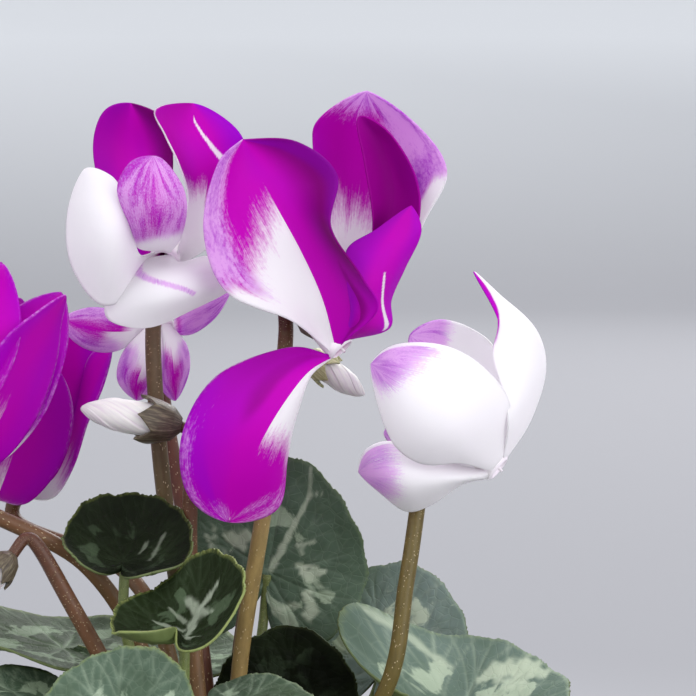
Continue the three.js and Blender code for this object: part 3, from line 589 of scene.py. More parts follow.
def layRings(name, origin, axis, profile, sides, rows, lobes=None):
    # a body of rings round an axis, from a profile of (height, radius, notch)
    turn = uprightTo(axis)
    profile = np.array([[*p, 0][:3] for p in profile], float)

    def place(x, y):
        along = y * (len(profile) - 1)
        i = np.minimum(along.astype(int), len(profile) - 2)
        w = (along - i)[:, None]
        row = profile[i] * (1 - w) + profile[i + 1] * w
        angle = x * math.tau
        notch = row[:, 2] * lobes(angle) if lobes else 0
        return ringPoints(angle, row[:, 1], row[:, 0] + notch) @ turn.T + origin

    return faceOut(weld(layGrid(name, sides, rows, place)[0]))


def sepalLobe(angle):
    # 1 at the middle of a sepal, -1 in the notches
    away = np.abs((angle * flower["sepals"] / math.tau + 0.5) % 1 - 0.5) * 2
    return 1 - 2 * away ** 0.8


def makeCalyx(name, origin, axis, scale):
    profile = [tuple(k * scale for k in p) for p in flower["calyx"]]
    return layRings(name, origin, axis, profile, *flower["calyxGrid"], sepalLobe)


def makeTube(name, points, radii, sides, rows):
    # a round stem of changing radius along a smooth curve, closed at both ends
    steps = np.linspace(0, 1, rows + 1)
    centers = onCurve(points, steps)
    tangents = np.gradient(centers, axis=0)
    tangents /= np.linalg.norm(tangents, axis=1)[:, None]
    side = np.array([1.0, 0, 0])
    sidesAlong = []
    for tangent in tangents:
        side = unit(side - tangent * (side @ tangent))
        sidesAlong.append(side)
    sidesAlong = np.array(sidesAlong)
    upsAlong = np.cross(tangents, sidesAlong)
    widths = np.interp(steps * (len(radii) - 1), range(len(radii)), radii)
    widths[0] = widths[-1] = 0
    centers[0] = centers[1]
    centers[-1] = centers[-2]

    def place(x, y):
        row = np.rint(y * rows).astype(int)
        angle = x * math.tau
        reach = widths[row]
        return (centers[row] + sidesAlong[row] * (np.cos(angle) * reach)[:, None]
                + upsAlong[row] * (np.sin(angle) * reach)[:, None])

    return faceOut(weld(layGrid(name, sides, rows, place)[0])), centers, sidesAlong, upsAlong, widths


# the crown: where the stems and stalks stand
crown = {"rootDepth": 104, "top": 118}


def slotPoint(slot, height):
    ring, degrees = slot
    return (*onCircle(degrees, ring), height)


hairs = {
    "radius": 0.035, "perMillimetre": 5, "length": 0.4, "shortest": 0.6, "variation": 0.7, "lean": 0.3,
    "rooted": 0.97, "seed": 11,
}


def makeHairs(name, tube):
    # fine gland-tipped hairs: three-sided spikes set round the stem at random
    centers, sides, ups, widths = tube[1:]
    start, end = flower["hairRows"]
    draw = random.Random(hairs["seed"])
    lengths = np.linalg.norm(np.diff(centers, axis=0), axis=1)
    count = int(lengths[start:end].sum() * hairs["perMillimetre"])
    points = []
    for i in range(count):
        at = start + (end - start - 1) * draw.random()
        row = int(at)
        share = at - row
        angle = draw.random() * math.tau
        out = sides[row] * math.cos(angle) + ups[row] * math.sin(angle)
        along = unit(centers[row + 1] - centers[row])
        around = np.cross(along, out)
        root = centers[row] * (1 - share) + centers[row + 1] * share + out * widths[row] * hairs["rooted"]
        reach = hairs["length"] * (hairs["shortest"] + hairs["variation"] * draw.random())
        lean = unit(out + along * draw.uniform(-hairs["lean"], hairs["lean"]))
        for k in range(3):
            turn = k * math.tau / 3
            points.append(root + (along * math.cos(turn) + around * math.sin(turn)) * hairs["radius"])
        points.append(root + lean * reach)
    faces = []
    for i in range(0, len(points), 4):
        faces += [(i, i + 1, i + 3), (i + 1, i + 2, i + 3), (i + 2, i, i + 3), (i + 2, i + 1, i)]
    return faceOut(fromPoints(name, points, faces))


def makeStem(name, slot, via, neck, axis, scale, skin, sepal):
    points = [slotPoint(slot, crown["rootDepth"]), slotPoint(slot, (crown["rootDepth"] + crown["top"]) / 2),
              slotPoint(slot, crown["top"]), *via, neck + axis * flower["neckDepth"]]
    radii = [k * flower["stemRadius"] for k in flower["stemTaper"]]
    tube = makeTube(name + "Stem", points, radii, *flower["stemGrid"])
    hair = makeHairs(name + "StemHair", tube)
    calyx = makeCalyx(name + "StemCalyx", neck, axis, scale)
    coat(tube[0], skin)
    coat(calyx, sepal)
    coat(hair, stemDown)
    dress(joinPieces(name + "Stem", [tube[0], calyx, hair]), name + "_stem")


# petal: living tissue, dyed in its skin, which scatters light and glows when lit from behind; its dark red is painted
# shade
petalSkin = {
    "magenta": "#cf00c4",
    "violet": "#a200dc",
    # painted shade: dark red laid over the petals' folds, shaded sides and far walls
    "shadeCrimson": "#780060",
    "lilac": "#eab8f0",
    "speck": "#bf52d6",
    "white": "#f8f6f8",
    # noise over a petal's map, about 25 mm across by 50 mm along: across, along, detail, roughness, distortion
    "noises": {
        "streak": (105, 7, 4.0, 0.6, 0.3),
        "speck": (64, 52, 3.0, 0.7, 0.0),
        "cloud": (8, 3, 3.0, 0.55, 0.6),
        "broad": (3, 2.5, 1.0, 0.4, 0.0),
    },
    # how far the noises push the painted white flames and lilac mist
    "flame": (("streak", 0.6), ("speck", 0.45), ("cloud", 0.6)),
    "mist": (("speck", 0.9), ("streak", 0.9), ("cloud", 0.6)),
    "roughness": 0.6,
    "glow": 0.4,
}


def makePetalMaterial(name, paint, rim=False):
    rows = [("look", "VertexColor " + paint, {}), ("parts", "SeparateColor", {0: "look"}), ("uv", "TexCoord", {})]
    for kind, (across, along, detail, roughness, distortion) in petalSkin["noises"].items():
        rows += [
            (kind + "Map", "Mapping", {"Vector": "uv.UV", "Scale": (across, along, 1)}),
            (kind, "TexNoise", {"Vector": kind + "Map", "Scale": 1.0, "Detail": detail, "Roughness": roughness,
                                "Distortion": distortion})]
    for share, total in (("flame", "parts.Red"), ("mist", "parts.Green")):
        for kind, weight in petalSkin[share]:
            rows.append((share + kind, "Math MULTIPLY_ADD", {0: kind, 1: weight, 2: total}))
            total = share + kind
    rows += [
        ("flamed", "MapRange SMOOTHSTEP", {"Value": "flamecloud", "From Min": 1.06, "From Max": 1.6}),
        ("misted", "MapRange SMOOTHSTEP", {"Value": "mistcloud", "From Min": 1.5, "From Max": 2.15, "To Max": 0.94}),
        ("bluer", "Math MULTIPLY_ADD", {0: "broad", 1: 0.6, 2: "look.Alpha"}, {"use_clamp": True}),
        ("bluest", "MapRange", {"Value": "bluer", "From Min": 0.3, "From Max": 1.3}),
        ("tint", "Mix RGBA", {0: "bluest", 6: petalSkin["magenta"], 7: petalSkin["violet"]}),
        # painted shade: the dark red laid on where the painted share in blue says
        ("deep", "Mix RGBA", {0: "parts.Blue", 6: "tint", 7: petalSkin["shadeCrimson"]}),
        ("pale", "Mix RGBA", {0: "flamed", 6: "deep", 7: petalSkin["white"]}),
        ("grain", "Math MULTIPLY_ADD", {0: "speck", 1: 0.6, 2: "cloud"}),
        ("grained", "ValToRGB", {0: "grain"}, {"stops": ((0.6, petalSkin["speck"]), (0.88, petalSkin["lilac"]))}),
        ("color", "Mix RGBA", {0: "misted", 6: "pale", 7: "grained"})]
    if rim:      # the cut edge has little dye, so it shows as a thin pale line
        rows.append(("color", "Mix RGBA", {0: 0.5, 6: "color", 7: "#fbf0fc"}))
    return makeMaterial(name, rows + [
        ("bump", "Bump", {"Height": "streak", "Strength": 0.2, "Distance": 0.0002}),
        ("skin", "BsdfPrincipled", {
            "Base Color": "color", "Roughness": petalSkin["roughness"], "Specular IOR Level": 0.1, "Normal": "bump"}),
        ("through", "BsdfTranslucent", {"Color": "color"}),
        ("mixed", "MixShader", {0: petalSkin["glow"], 1: "skin", 2: "through"})])


def makeThroatMaterial(name, ring, inside):
    # the tube is greenish white outside; inside the mouth it turns darker, partly its dye and partly painted shade in
    # the hollow
    return makeMaterial(name, [
        ("uv", "TexCoord", {}),
        ("split", "SeparateXYZ", {0: "uv.UV"}),
        ("band", "ValToRGB", {0: "split.Y"}, {"stops": (
            (0.0, "#cfd0a8"), (0.45, "#efe9ec"), (0.62, "#f5e9f4"), (0.72, ring), (1.0, inside))}),
        ("skin", "BsdfPrincipled", {"Base Color": "band", "Roughness": 0.5, "Specular IOR Level": 0.3})])


# stem: a waxy skin, olive below and red-brown above, with pale gland heads
stemSkin = {
    "speck": "#c9b591",
    "specksAround": 16,      # gland heads about 0.8 mm apart
    "specksPerLength": 230,
    "roughness": 0.42,
}
stemTones = {
    "bloom_center": ("#765c34", "#8e7a50", "#3e100e"),
    "bloom_right": ("#66582f", "#5e512b", "#665833"),
    "bloom_left": ("#5c5330", "#5e4c36", "#54382e"),
    "bloom_behind": ("#6b4536", "#5d392e", "#5c4032"),
}
plainTones = ("#6d6440", "#6a4c36", "#523428")


def makeStemMaterial(name, tones):
    return makeMaterial(name, [
        ("uv", "TexCoord", {}),
        ("split", "SeparateXYZ", {0: "uv.UV"}),
        ("mottleMap", "Mapping", {"Vector": "uv.UV", "Scale": (6, 60, 1)}),
        ("mottle", "TexNoise", {"Vector": "mottleMap", "Scale": 1.0, "Detail": 4.0, "Roughness": 0.6}),
        ("along", "Math MULTIPLY_ADD", {0: "mottle", 1: 0.12, 2: "split.Y"}),
        ("band", "ValToRGB", {0: "along"}, {"stops": tuple(zip((0.2, 0.58, 0.8), tones))}),
        ("level", "MapRange", {"Value": "mottle", "From Min": 0.3, "From Max": 0.7, "To Min": 0.78, "To Max": 1.2}),
        ("shade", "HueSaturation", {"Color": "band", "Saturation": 1.05, "Value": "level"}),
        ("glandMap", "Mapping", {
            "Vector": "uv.UV", "Scale": (stemSkin["specksAround"], stemSkin["specksPerLength"], 1)}),
        ("gland", "TexVoronoi", {"Vector": "glandMap", "Scale": 1.0}),
        ("dot", "MapRange SMOOTHSTEP", {
            "Value": "gland", "From Min": 0.1, "From Max": 0.2, "To Min": 0.75, "To Max": 0.0}),
        ("color", "Mix RGBA", {0: "dot", 6: "shade", 7: stemSkin["speck"]}),
        ("bump", "Bump", {"Height": "dot", "Strength": 0.5, "Distance": 0.0002}),
        ("skin", "BsdfPrincipled", {
            "Base Color": "color", "Roughness": stemSkin["roughness"], "Specular IOR Level": 0.3,
            "Subsurface Weight": 0.08, "Subsurface Radius": (0.002, 0.001, 0.0006), "Normal": "bump"})])


def makeVeinedMaterial(name, stretch, stops, bump, skin):
    # thin living skin with fine veins along it
    return makeMaterial(name, [
        ("uv", "TexCoord", {}),
        ("veinMap", "Mapping", {"Vector": "uv.UV", "Scale": stretch}),
        ("vein", "TexNoise", {"Vector": "veinMap", "Scale": 1.0, "Detail": 4.0, "Roughness": 0.6}),
        ("color", "ValToRGB", {0: "vein"}, {"stops": stops}),
        ("bump", "Bump", {"Height": "vein", **bump}),
        ("skin", "BsdfPrincipled", {"Base Color": "color", "Roughness": 0.4, "Normal": "bump", **skin})])


def makeSepalMaterial(name, tones):
    # sepals: dull skin, with darker veins
    return makeVeinedMaterial(name, (50, 7, 1), tuple(zip((0.25, 0.5, 0.75), tones)),
                              {"Strength": 0.6, "Distance": 0.0004}, {"Specular IOR Level": 0.4})


petalSeen = makePetalMaterial("petalSkin", "seenPaint")
petalBack = makePetalMaterial("petalReverse", "backPaint")
petalRim = makePetalMaterial("petalRim", "seenPaint", rim=True)
# the darker ring and the darker inside are partly dye and partly painted shade in the tube's hollow
magentaThroat = makeThroatMaterial("magentaThroat", "#9a0a78", "#5c0a48")
whiteThroat = makeThroatMaterial("whiteThroat", "#f6f0f4", "#e4d0e0")
# clear hairs catch the light as a pale down
stemDown = makeMaterial("stemDown", [
    ("skin", "BsdfPrincipled", {"Base Color": "#c8b79a", "Roughness": 0.35, "Alpha": 0.5})])
sepalSkin = makeSepalMaterial("sepalSkin", ("#241b15", "#54493a", "#857c62"))
paleSepal = makeSepalMaterial("paleSepalSkin", ("#6f6c45", "#a5a375", "#cfcda8"))
plainStem = makeStemMaterial("stemSkin", plainTones)


def makeBloom(name, bloom, index):
    mouth, axis = ringFrame(bloom)
    shown = "petals" in bloom
    nets = bloom["petals"] if shown else nodPetals(bloom)
    pieces = []
    for k, (petalName, curves) in enumerate(petalCurves(bloom, nets).items()):
        looks = dict(petalLooks.get(name, {}).get(petalName, {}))
        if not shown:
            looks["faces"] = tuple(np.array(nets[petalName][1][2]) - mouth + axis * nodBloom["rise"][2])
        grid = flower["nearGrid" if index < flower["nearCount"] else "farGrid"]
        pieces.append(makePetal(f"{name}_{petalName}", curves, looks, index * 5 + k, grid))
        coat(pieces[-1], petalSeen, petalBack, petalRim)
    pale = name == "bloom_right"
    for part in ("tube", "style"):
        pieces.append(layRings(f"{name}_{part}", mouth, axis, flower[part], *flower[part + "Grid"]))
        coat(pieces[-1], whiteThroat if pale else magentaThroat)
    dress(joinPieces(name + "Petals", pieces), name + "_petals")
    via = bloom["stem"] if shown else [*bloom["stem"], *nodHook(bloom)]
    skin = makeStemMaterial("stemSkin_" + name, stemTones[name]) if name in stemTones else plainStem
    makeStem(name, bloom["slot"], via, mouth - axis * flower["calyxDepth"], axis, 1, skin, sepalSkin)


for index, (name, bloom) in enumerate(blooms.items()):
    makeBloom(name, bloom, index)
print("blooms done")


# buds: a pointed roll of petals wound in a spiral, held in a calyx
buds = {
    "bud_left": {
        "neck": (-9, -6, 242), "axis": (-0.97, -0.04, 0.17), "slot": (9, 268), "scale": 1.28, "length": 26,
        "stem": [(-3, -8, 150), (-6.5, -5, 190), (-7.2, -5, 215), (-6.2, -5.5, 232), (-5.4, -6, 239)],
    },
    "bud_behind": {
        "neck": (22, 28, 257), "axis": (0.8, -0.05, -0.55), "slot": (3.4, 60), "scale": 1, "length": 19,
        "stem": [(4.5, 9, 148), (4.5, 18, 177), (9.2, 25.5, 206), (14, 28, 236), (17, 28, 251), (19.2, 28, 257)],
    },
    "bud_low": {
        "neck": (-49.5, -27.5, 212.5), "axis": (-0.6, -0.35, -0.72), "slot": (9, 228), "scale": 0.9, "length": 20,
        "stem": [(-12, -17, 150), (-24, -22, 177), (-36, -24, 200), (-43, -25, 213), (-46.5, -25.5, 216)],
    },
}

# a bud's rolled petals from the calyx to the point: radii in mm, shares of its length and turns in radians
budRoll = {
    "start": 3.9,
    "radii": (0, 2.2, 3.2, 3.3, 3.1, 1.9, 0.7, 0),
    "shares": (0, 0, 0.08, 0.35, 0.62, 0.85, 0.97, 1),
    "turns": (0, 0, 0.1, 0.7, 1.4, 2.2, 2.9, 3.1),
    "petals": 5,
    "overlap": 0.07,
    "grid": (100, 60),
}

# unopened petals: thin and waxy white, greyed a little as painted shade, the dye showing faintly along the folds
budSkin = makeVeinedMaterial(
    "budSkin", (30, 4, 1), ((0.2, "#cdb9cb"), (0.5, "#dedad8"), (0.8, "#ebe8e2")),
    {"Strength": 0.2, "Distance": 0.0003},
    {"Subsurface Weight": 0.2, "Subsurface Radius": (0.002, 0.0015, 0.0015)})


def makeBud(name, bud):
    scale, axis, neck = bud["scale"], unit(bud["axis"]), np.array(bud["neck"], float)
    turn = uprightTo(axis)
    start = budRoll["start"] * scale
    radii = [r * scale for r in budRoll["radii"]]
    heights = [start + (bud["length"] - start) * share for share in budRoll["shares"]]

    def place(x, y):
        radius, height, turned = onCurve(np.stack([radii, heights, budRoll["turns"]], axis=1), y).T
        angle = x * math.tau
        wound = (angle * budRoll["petals"] / math.tau) % 1
        step = 1 + budRoll["overlap"] * (wound - 0.5) * ease(1, 2.5, y * (len(radii) - 1))
        return ringPoints(angle + turned, radius * step, height) @ turn.T + neck

    roll = faceOut(weld(layGrid(name + "Roll", *budRoll["grid"], place)[0]))
    coat(roll, budSkin)
    dress(joinPieces(name + "Petals", [roll]), name + "_petals")
    makeStem(name, bud["slot"], bud["stem"], neck, axis, scale, plainStem,
             paleSepal if name == "bud_behind" else sepalSkin)


for name, bud in buds.items():
    makeBud(name, bud)
print("buds done")


# leaves: heart-shaped toothed blades on round stalks
leafShape = {
    "thickness": 0.6,
    "nearTooth": 1.4,        # pitch of the fine teeth on the leaves in front, in mm
    "farTooth": 2.2,
    "toothDepth": 0.26,
    # the outline: a round blade with a point at its tip and a sinus at the stalk, as shares of its width
    "body": 0.51, "oval": 0.05, "point": 0.05, "pointWidth": 0.38, "sinus": 0.8, "sinusWidth": 0.3,
    "toothSides": (0.7, 0.3),       # a tooth's long side and its short one, as shares of the pitch
    "toothShift": (0.3, 0.2),       # two waves that space the teeth unevenly
    "toothSize": (0.75, 0.7),       # their mean size and how much it varies
    "lobes": 16,
    "lobeDepth": 0.01,
    "unevenness": 0.012,
    "lobeStart": 0.86,              # where lobes and teeth begin, as shares of the way out
    "toothStart": 0.97,
    "quilting": 0.25,
    "liftWidth": 0.65,
    "edgeWave": 0.035,
    "veinDepth": 0.3,
    "veinEnd": 0.8,
    "inFront": 9,            # the first nine leaves are the ones that the photo shows
    "nearRings": 26,
    "farRings": 14,
    "rimBand": (0.965, 0.998),
    "silverBand": (0.25, 0.45, 0.6, 0.84),      # the ring of marbling: where it comes and where it goes
    "mapStep": 90,                  # each leaf has its own stretch of the patterns
    "stalkRadius": 1.5,
    "stalkTop": 0.85,
    "stalkGrid": (16, 70),
    # the stalk's curve: how high it goes straight up, and how far from the blade it turns
    "stalkRise": 0.62,
    "stalkTurn": 0.28,
    "veinAngles": (0, 36, -36, 72, -72, 108, -108, 145, -145),
    "veinBend": 0.12,
    "veinWidth": (0.75, 0.4),       # half a main vein's width at the stalk in mm, and how much it loses
    "forks": ((0.34, 0.62), (0.55, 0.48)),      # where each main vein forks, and how widely
    "forkWidth": 0.42,
    "forkStrength": 0.75,
    # how pale each blade is painted, from nearly black to grey-green; the tiers' leaves take the last one. The nearly
    # black blades are painted shade where leaves lie in shadow, and the palest are partly a painted grey sheen of sky
    # reflection
    "tones": (0.7, 0.98, 0.84, 0.05, 0.22, 0.07, 0.7, 0.58, 0.64, 0.5),
    "toneVariation": 0.16,
    # how yellow-green each blade's edge is, and how far its veins show
    "rims": (0.12, 0.15, 0.2, 0.05, 0.5, 0.22, 0.35, 0.2, 0.35, 0.25),
    "veins": (0.16, 0.35, 0.5, 0.3, 0.3, 0.2, 0.5, 0.6, 0.5, 0.9),
}

# Pale marbling that shows on single leaves: a stroke's two ends along the tip and to the side in mm, half a
# width at each end in mm, and how pale it is
leafMarks = {
    0: [
        ((0.7, 0.9), (11.9, 4.3), 0.9, 0.7, 0.75), ((11.9, 4.3), (23.1, 7.5), 0.7, 0.5, 0.7),
        ((23.1, 7.5), (29.5, 6.3), 0.5, 0.3, 0.5), ((23.1, 7.5), (23.8, 10.6), 0.4, 0.3, 0.5),
        ((8.5, 6.5), (10.8, 11.5), 0.5, 0.4, 0.6), ((9.0, 8.0), (6.6, 8.4), 0.6, 0.3, 0.5),
        ((3.4, 8.6), (1.2, 11.4), 0.9, 1.6, 0.9), ((1.2, 11.4), (3.2, 14.8), 1.5, 0.6, 0.8),
        ((3.4, 8.6), (3.8, 12.5), 0.6, 0.5, 0.7), ((-3.5, 12.2), (-8.6, 14), 1.2, 1.6, 0.8),
        ((-8.6, 14), (-7.6, 15.8), 0.8, 0.3, 0.6), ((-7.1, 9.7), (-10.5, 4), 0.7, 0.5, 0.6),
        ((6.8, -10.9), (7.4, -7.8), 1.9, 1.8, 0.85), ((8.8, -7.2), (5.0, -7.6), 0.9, 0.9, 0.8),
        ((7.0, -13.4), (5.4, -9.5), 0.5, 0.9, 0.7), ((5.7, -17.7), (-0.5, -13.7), 0.5, 0.4, 0.6),
        ((9.0, -16.5), (5.0, -15.5), 0.4, 0.3, 0.5), ((3.0, -12.6), (-2, -10.5), 0.4, 0.3, 0.4),
    ],
    2: [
        ((-14, -19.5), (-8.2, -21.8), 0.6, 1.1, 0.8), ((-8.2, -21.8), (0, -18.6), 1.1, 0.8, 0.7),
        ((6.8, -13.9), (12.8, -15.5), 0.8, 2.2, 0.9), ((12.8, -15.5), (20, -14), 2.2, 3.2, 1.0),
        ((20, -13.5), (24.5, -11), 3.0, 1.6, 0.9), ((12, -13), (16, -9), 1.2, 1.5, 0.8),
        ((18, -12), (19, -7.5), 2.2, 1.2, 0.85),
    ],
    4: [
        ((0.5, 0.5), (8.4, 1.2), 0.8, 1.7, 0.5), ((8.4, 1.2), (12.8, 6.3), 1.1, 0.3, 0.6),
        ((8.4, 1.2), (11.5, -2.4), 1.4, 0.9, 0.5), ((8.4, 1.2), (5.9, 6.6), 1.0, 0.3, 0.5),
        ((2, -1), (4, -9.5), 0.45, 0.25, 0.4), ((-1, 1), (-1.5, 4.5), 0.7, 0.4, 0.6),
        ((5, -1.5), (9, -7), 0.45, 0.2, 0.35),
    ],
    5: [((9.2, 7.7), (0.9, 6.2), 0.4, 0.4, 0.22), ((7, 3.7), (3.5, 2.9), 0.4, 0.3, 0.2)],
}

leaves = [
    {"at": (11.5, 34, 198), "tip": (0.2, 0, 0.98), "face": (-0.1, -0.95, 0.2), "width": 52, "cup": 0.06,
     "slot": (15.5, 68)},
    {"at": (43, 32, 173), "tip": (0.4, 0.1, 0.85), "face": (-0.2, -0.85, 0.5), "width": 46, "cup": 0.08,
     "slot": (23, 34)},
    {"at": (61, 0, 163), "tip": (0.93, -0.2, 0.3), "face": (-0.15, -0.5, 0.85), "width": 52, "cup": 0.05,
     "slot": (23, 0), "lifts": [(-135, 33), (100, 20)]},
    {"at": (17, 9, 165), "tip": (0.1, 0.05, 0.95), "face": (0, -0.95, 0.3), "width": 38, "cup": 0.1,
     "slot": (15.5, 30)},
    {"at": (-6.5, -38, 194), "tip": (0.3, 0.85, 0.4), "face": (-0.3, -0.45, 0.85), "width": 34, "cup": 0.34,
     "slot": (15.5, -112), "lifts": [(45, 6), (-150, 6)]},
    {"at": (-23, -14, 208.5), "tip": (0.2, 0.85, 0.4), "face": (0.1, -0.4, 0.92), "width": 32, "cup": 0.38,
     "slot": (15.5, -140)},
    {"at": (-21, -66, 175), "tip": (0.6, 0.1, 0.8), "face": (-0.2, -0.95, 0.25), "width": 38, "cup": 0.1,
     "slot": (23, -98)},
    {"at": (4.5, -43.5, 176.5), "tip": (0.7, -0.7, -0.05), "face": (0.1, -0.3, 0.95), "width": 38, "cup": 0.1,
     "slot": (15.5, -60)},
    {"at": (42, -52, 169), "tip": (0.6, -0.75, 0.05), "face": (0.05, -0.15, 1), "width": 50, "cup": 0.1,
     "slot": (23, -49)},
]

leafTiers = [
    {"reach": 72, "height": 142, "width": 56, "tilt": -16, "ring": 23,
     "angles": (14, 59, 104, 149, -170, -128, -78, -31)},
    {"reach": 48, "height": 171, "width": 52, "tilt": 6, "ring": 15.5, "angles": (112, 152, -168)},
]
tierStep = 8        # every second leaf of a tier stands this much higher
tierCup = 0.1
for tier in leafTiers:
    for i, degrees in enumerate(tier["angles"]):
        out = np.array([*onCircle(degrees, 1), 0])
        up = np.array([0, 0, 1.0])
        tilt = math.radians(tier["tilt"])
        at = out * tier["reach"]
        at[2] = tier["height"] + (i % 2) * tierStep
        leaves.append({
            "at": tuple(at), "tip": tuple(out * math.cos(tilt) + up * math.sin(tilt)),
            "face": tuple(up * math.cos(tilt) - out * math.sin(tilt)), "width": tier["width"], "cup": tierCup,
            "slot": (tier["ring"], degrees),
        })


def leafRadius(theta):
    sinus = np.exp(-((math.pi - abs(theta)) / leafShape["sinusWidth"]) ** 2)
    point = np.exp(-(theta / leafShape["pointWidth"]) ** 2)
    whole = leafShape["body"] + leafShape["oval"] * np.cos(theta) + leafShape["point"] * point
    return whole * (1 - leafShape["sinus"] * sinus)


def veinShare(theta, share, width):
    # 1 on a vein and 0 off it: nine main veins from the stalk, each forking twice
    found = np.zeros_like(theta)
    size = leafRadius(theta) * share * width
    wide, loss = leafShape["veinWidth"]
    for degrees in leafShape["veinAngles"]:
        main = math.radians(degrees) * (1 - leafShape["veinBend"] * share)
        away = abs(theta - main) * size
        found = np.maximum(found, np.exp(-(away / (wide - loss * share)) ** 2))
        for start, spread in leafShape["forks"]:
            for sign in (-1, 1):
                away = abs(theta - main - sign * np.maximum(share - start, 0) * spread) * size
                fork = np.exp(-(away / leafShape["forkWidth"]) ** 2) * (share > start)
                found = np.maximum(found, fork * leafShape["forkStrength"])
    return found


def markShare(marks, along, across):
    # how pale a leaf's painted marbling is, with ragged ends from two waves
    found = np.zeros_like(along)
    ragged = 0.25 * np.sin(along * 1.3 + across * 0.9) + 0.15 * np.sin(along * 1.1 - across * 2.4)
    for (a0, b0), (a1, b1), half0, half1, pale in marks:
        length = (a1 - a0) ** 2 + (b1 - b0) ** 2
        t = np.clip(((along - a0) * (a1 - a0) + (across - b0) * (b1 - b0)) / length, 0, 1)
        away = np.hypot(along - a0 - (a1 - a0) * t, across - b0 - (b1 - b0) * t)
        half = half0 + (half1 - half0) * t
        found = np.maximum(found, pale * (1 - ease(half * 0.55, half * 1.45 + 0.15, away + ragged * half)))
    return found


def makeLeaf(index, leaf):
    name = f"leaf_{index + 1:02d}"
    tip = unit(leaf["tip"])
    face = np.array(leaf["face"], float)
    face = unit(face - tip * (face @ tip))
    side = np.cross(tip, face)
    at = np.array(leaf["at"], float)
    width = leaf["width"]
    near = index < leafShape["inFront"]
    row = min(index, leafShape["inFront"])
    teeth = round(width * math.pi / leafShape["nearTooth" if near else "farTooth"])
    seed = index * 3.7
    # the blade's tone: painted shade on the darkest blades, partly painted sky sheen on the palest
    tone = leafShape["tones"][row] + (0 if near else leafShape["toneVariation"] * math.sin(seed))
    long, short = leafShape["toothSides"]
    shift, lesserShift = leafShape["toothShift"]
    size, variation = leafShape["toothSize"]

    def place(share, y):
        theta = math.pi - y * math.tau
        lobe = -np.cos(leafShape["lobes"] * (math.pi - theta)) * leafShape["lobeDepth"]
        lobe = lobe + leafShape["unevenness"] * np.sin(5 * theta + seed)
        saw = (y * teeth + shift * np.sin(41 * theta + seed) + lesserShift * np.sin(17 * theta)) % 1
        tooth = (np.where(saw < long, saw / long, (1 - saw) / short) - 0.5) * leafShape["toothDepth"] * 2 / width
        tooth = tooth * (size + variation * np.sin(23 * theta + seed) * np.sin(10 * theta))
        edge = ease(leafShape["lobeStart"], 1, share)
        tooth = tooth * edge * ease(leafShape["toothStart"], 1, share)
        radius = leafRadius(theta) * share * (1 + lobe * edge) + tooth
        wave = leafShape["edgeWave"] * np.sin(4 * theta + leaf["slot"][1]) * share ** 3
        rise = (leaf["cup"] * (radius / 0.5) ** 2 * 0.5 + wave) * width
        for degrees, amount in leaf.get("lifts", []):
            away = theta - math.radians(degrees)
            away = np.arctan2(np.sin(away), np.cos(away))
            rise += amount * np.exp(-(away / leafShape["liftWidth"]) ** 2) * share ** 2
        rise -= leafShape["veinDepth"] * veinShare(theta, share, width) * (1 - ease(leafShape["veinEnd"], 1, share))
        swell = np.sin(9 * theta + seed) * np.sin(share * 22 + seed) * leafShape["quilting"]
        rise += swell * share * (1 - share) * 4
        return (at + tip * (np.cos(theta) * radius * width)[:, None]
                + side * (np.sin(theta) * radius * width)[:, None] + face * rise[:, None])

    blade, shares = layGrid(name + "Blade", leafShape["nearRings" if near else "farRings"], teeth * 3, place)
    own = cornerShares(blade, shares)[0]
    theta = math.pi - own[:, 1] * math.tau
    vein = veinShare(theta, own[:, 0], width) * leafShape["veins"][row]
    rim = ease(*leafShape["rimBand"], own[:, 0]) * leafShape["rims"][row]
    a, b, c, d = leafShape["silverBand"]
    silver = ease(a, b, own[:, 0]) * (1 - ease(c, d, own[:, 0] + 0.07 * np.cos(9 * theta)))
    setPaint(blade, "leafPaint", np.stack([vein, silver, rim, np.full_like(vein, tone)], axis=1))
    reach = leafRadius(theta) * own[:, 0] * width
    marks = markShare(leafMarks.get(index, []), np.cos(theta) * reach, np.sin(theta) * reach)
    setPaint(blade, "markPaint", np.repeat(marks[:, None], 4, axis=1))
    # the leaf's own map, in millimetres from the stalk, so that patterns keep their real size
    flat = np.stack([
        np.cos(theta) * leafRadius(theta) * own[:, 0] * width + index * leafShape["mapStep"],
        np.sin(theta) * leafRadius(theta) * own[:, 0] * width], axis=1)
    blade.data.uv_layers[0].data.foreach_set("uv", (flat / 10).ravel())
    coat(weld(blade), leafSkin, leafUnder, leafEdge)
    thicken(blade, leafShape["thickness"], 1, 2)

    arrival = unit(face * 0.5 + tip * 0.6 + np.array([0, 0, 0.6]))
    start = np.array(slotPoint(leaf["slot"], crown["top"] - 4))
    span = np.linalg.norm(at - start)
    straight = start * [1, 1, 0] + [0, 0, start[2] + (at[2] - start[2]) * leafShape["stalkRise"]]
    handles = [start, straight, at - arrival * span * leafShape["stalkTurn"], at]
    points = [slotPoint(leaf["slot"], crown["rootDepth"])]
    for t in np.linspace(0, 1, 6):
        weights = ((1 - t) ** 3, 3 * t * (1 - t) ** 2, 3 * t * t * (1 - t), t ** 3)
        points.append(sum(w * h for w, h in zip(weights, handles)))
    r = leafShape["stalkRadius"]
    stalk = makeTube(name + "Stalk", points, [r, r, r * leafShape["stalkTop"]], *leafShape["stalkGrid"])[0]
    coat(stalk, stalkSkin)
    dress(joinPieces(name + "Leaf", [blade, stalk]), name)


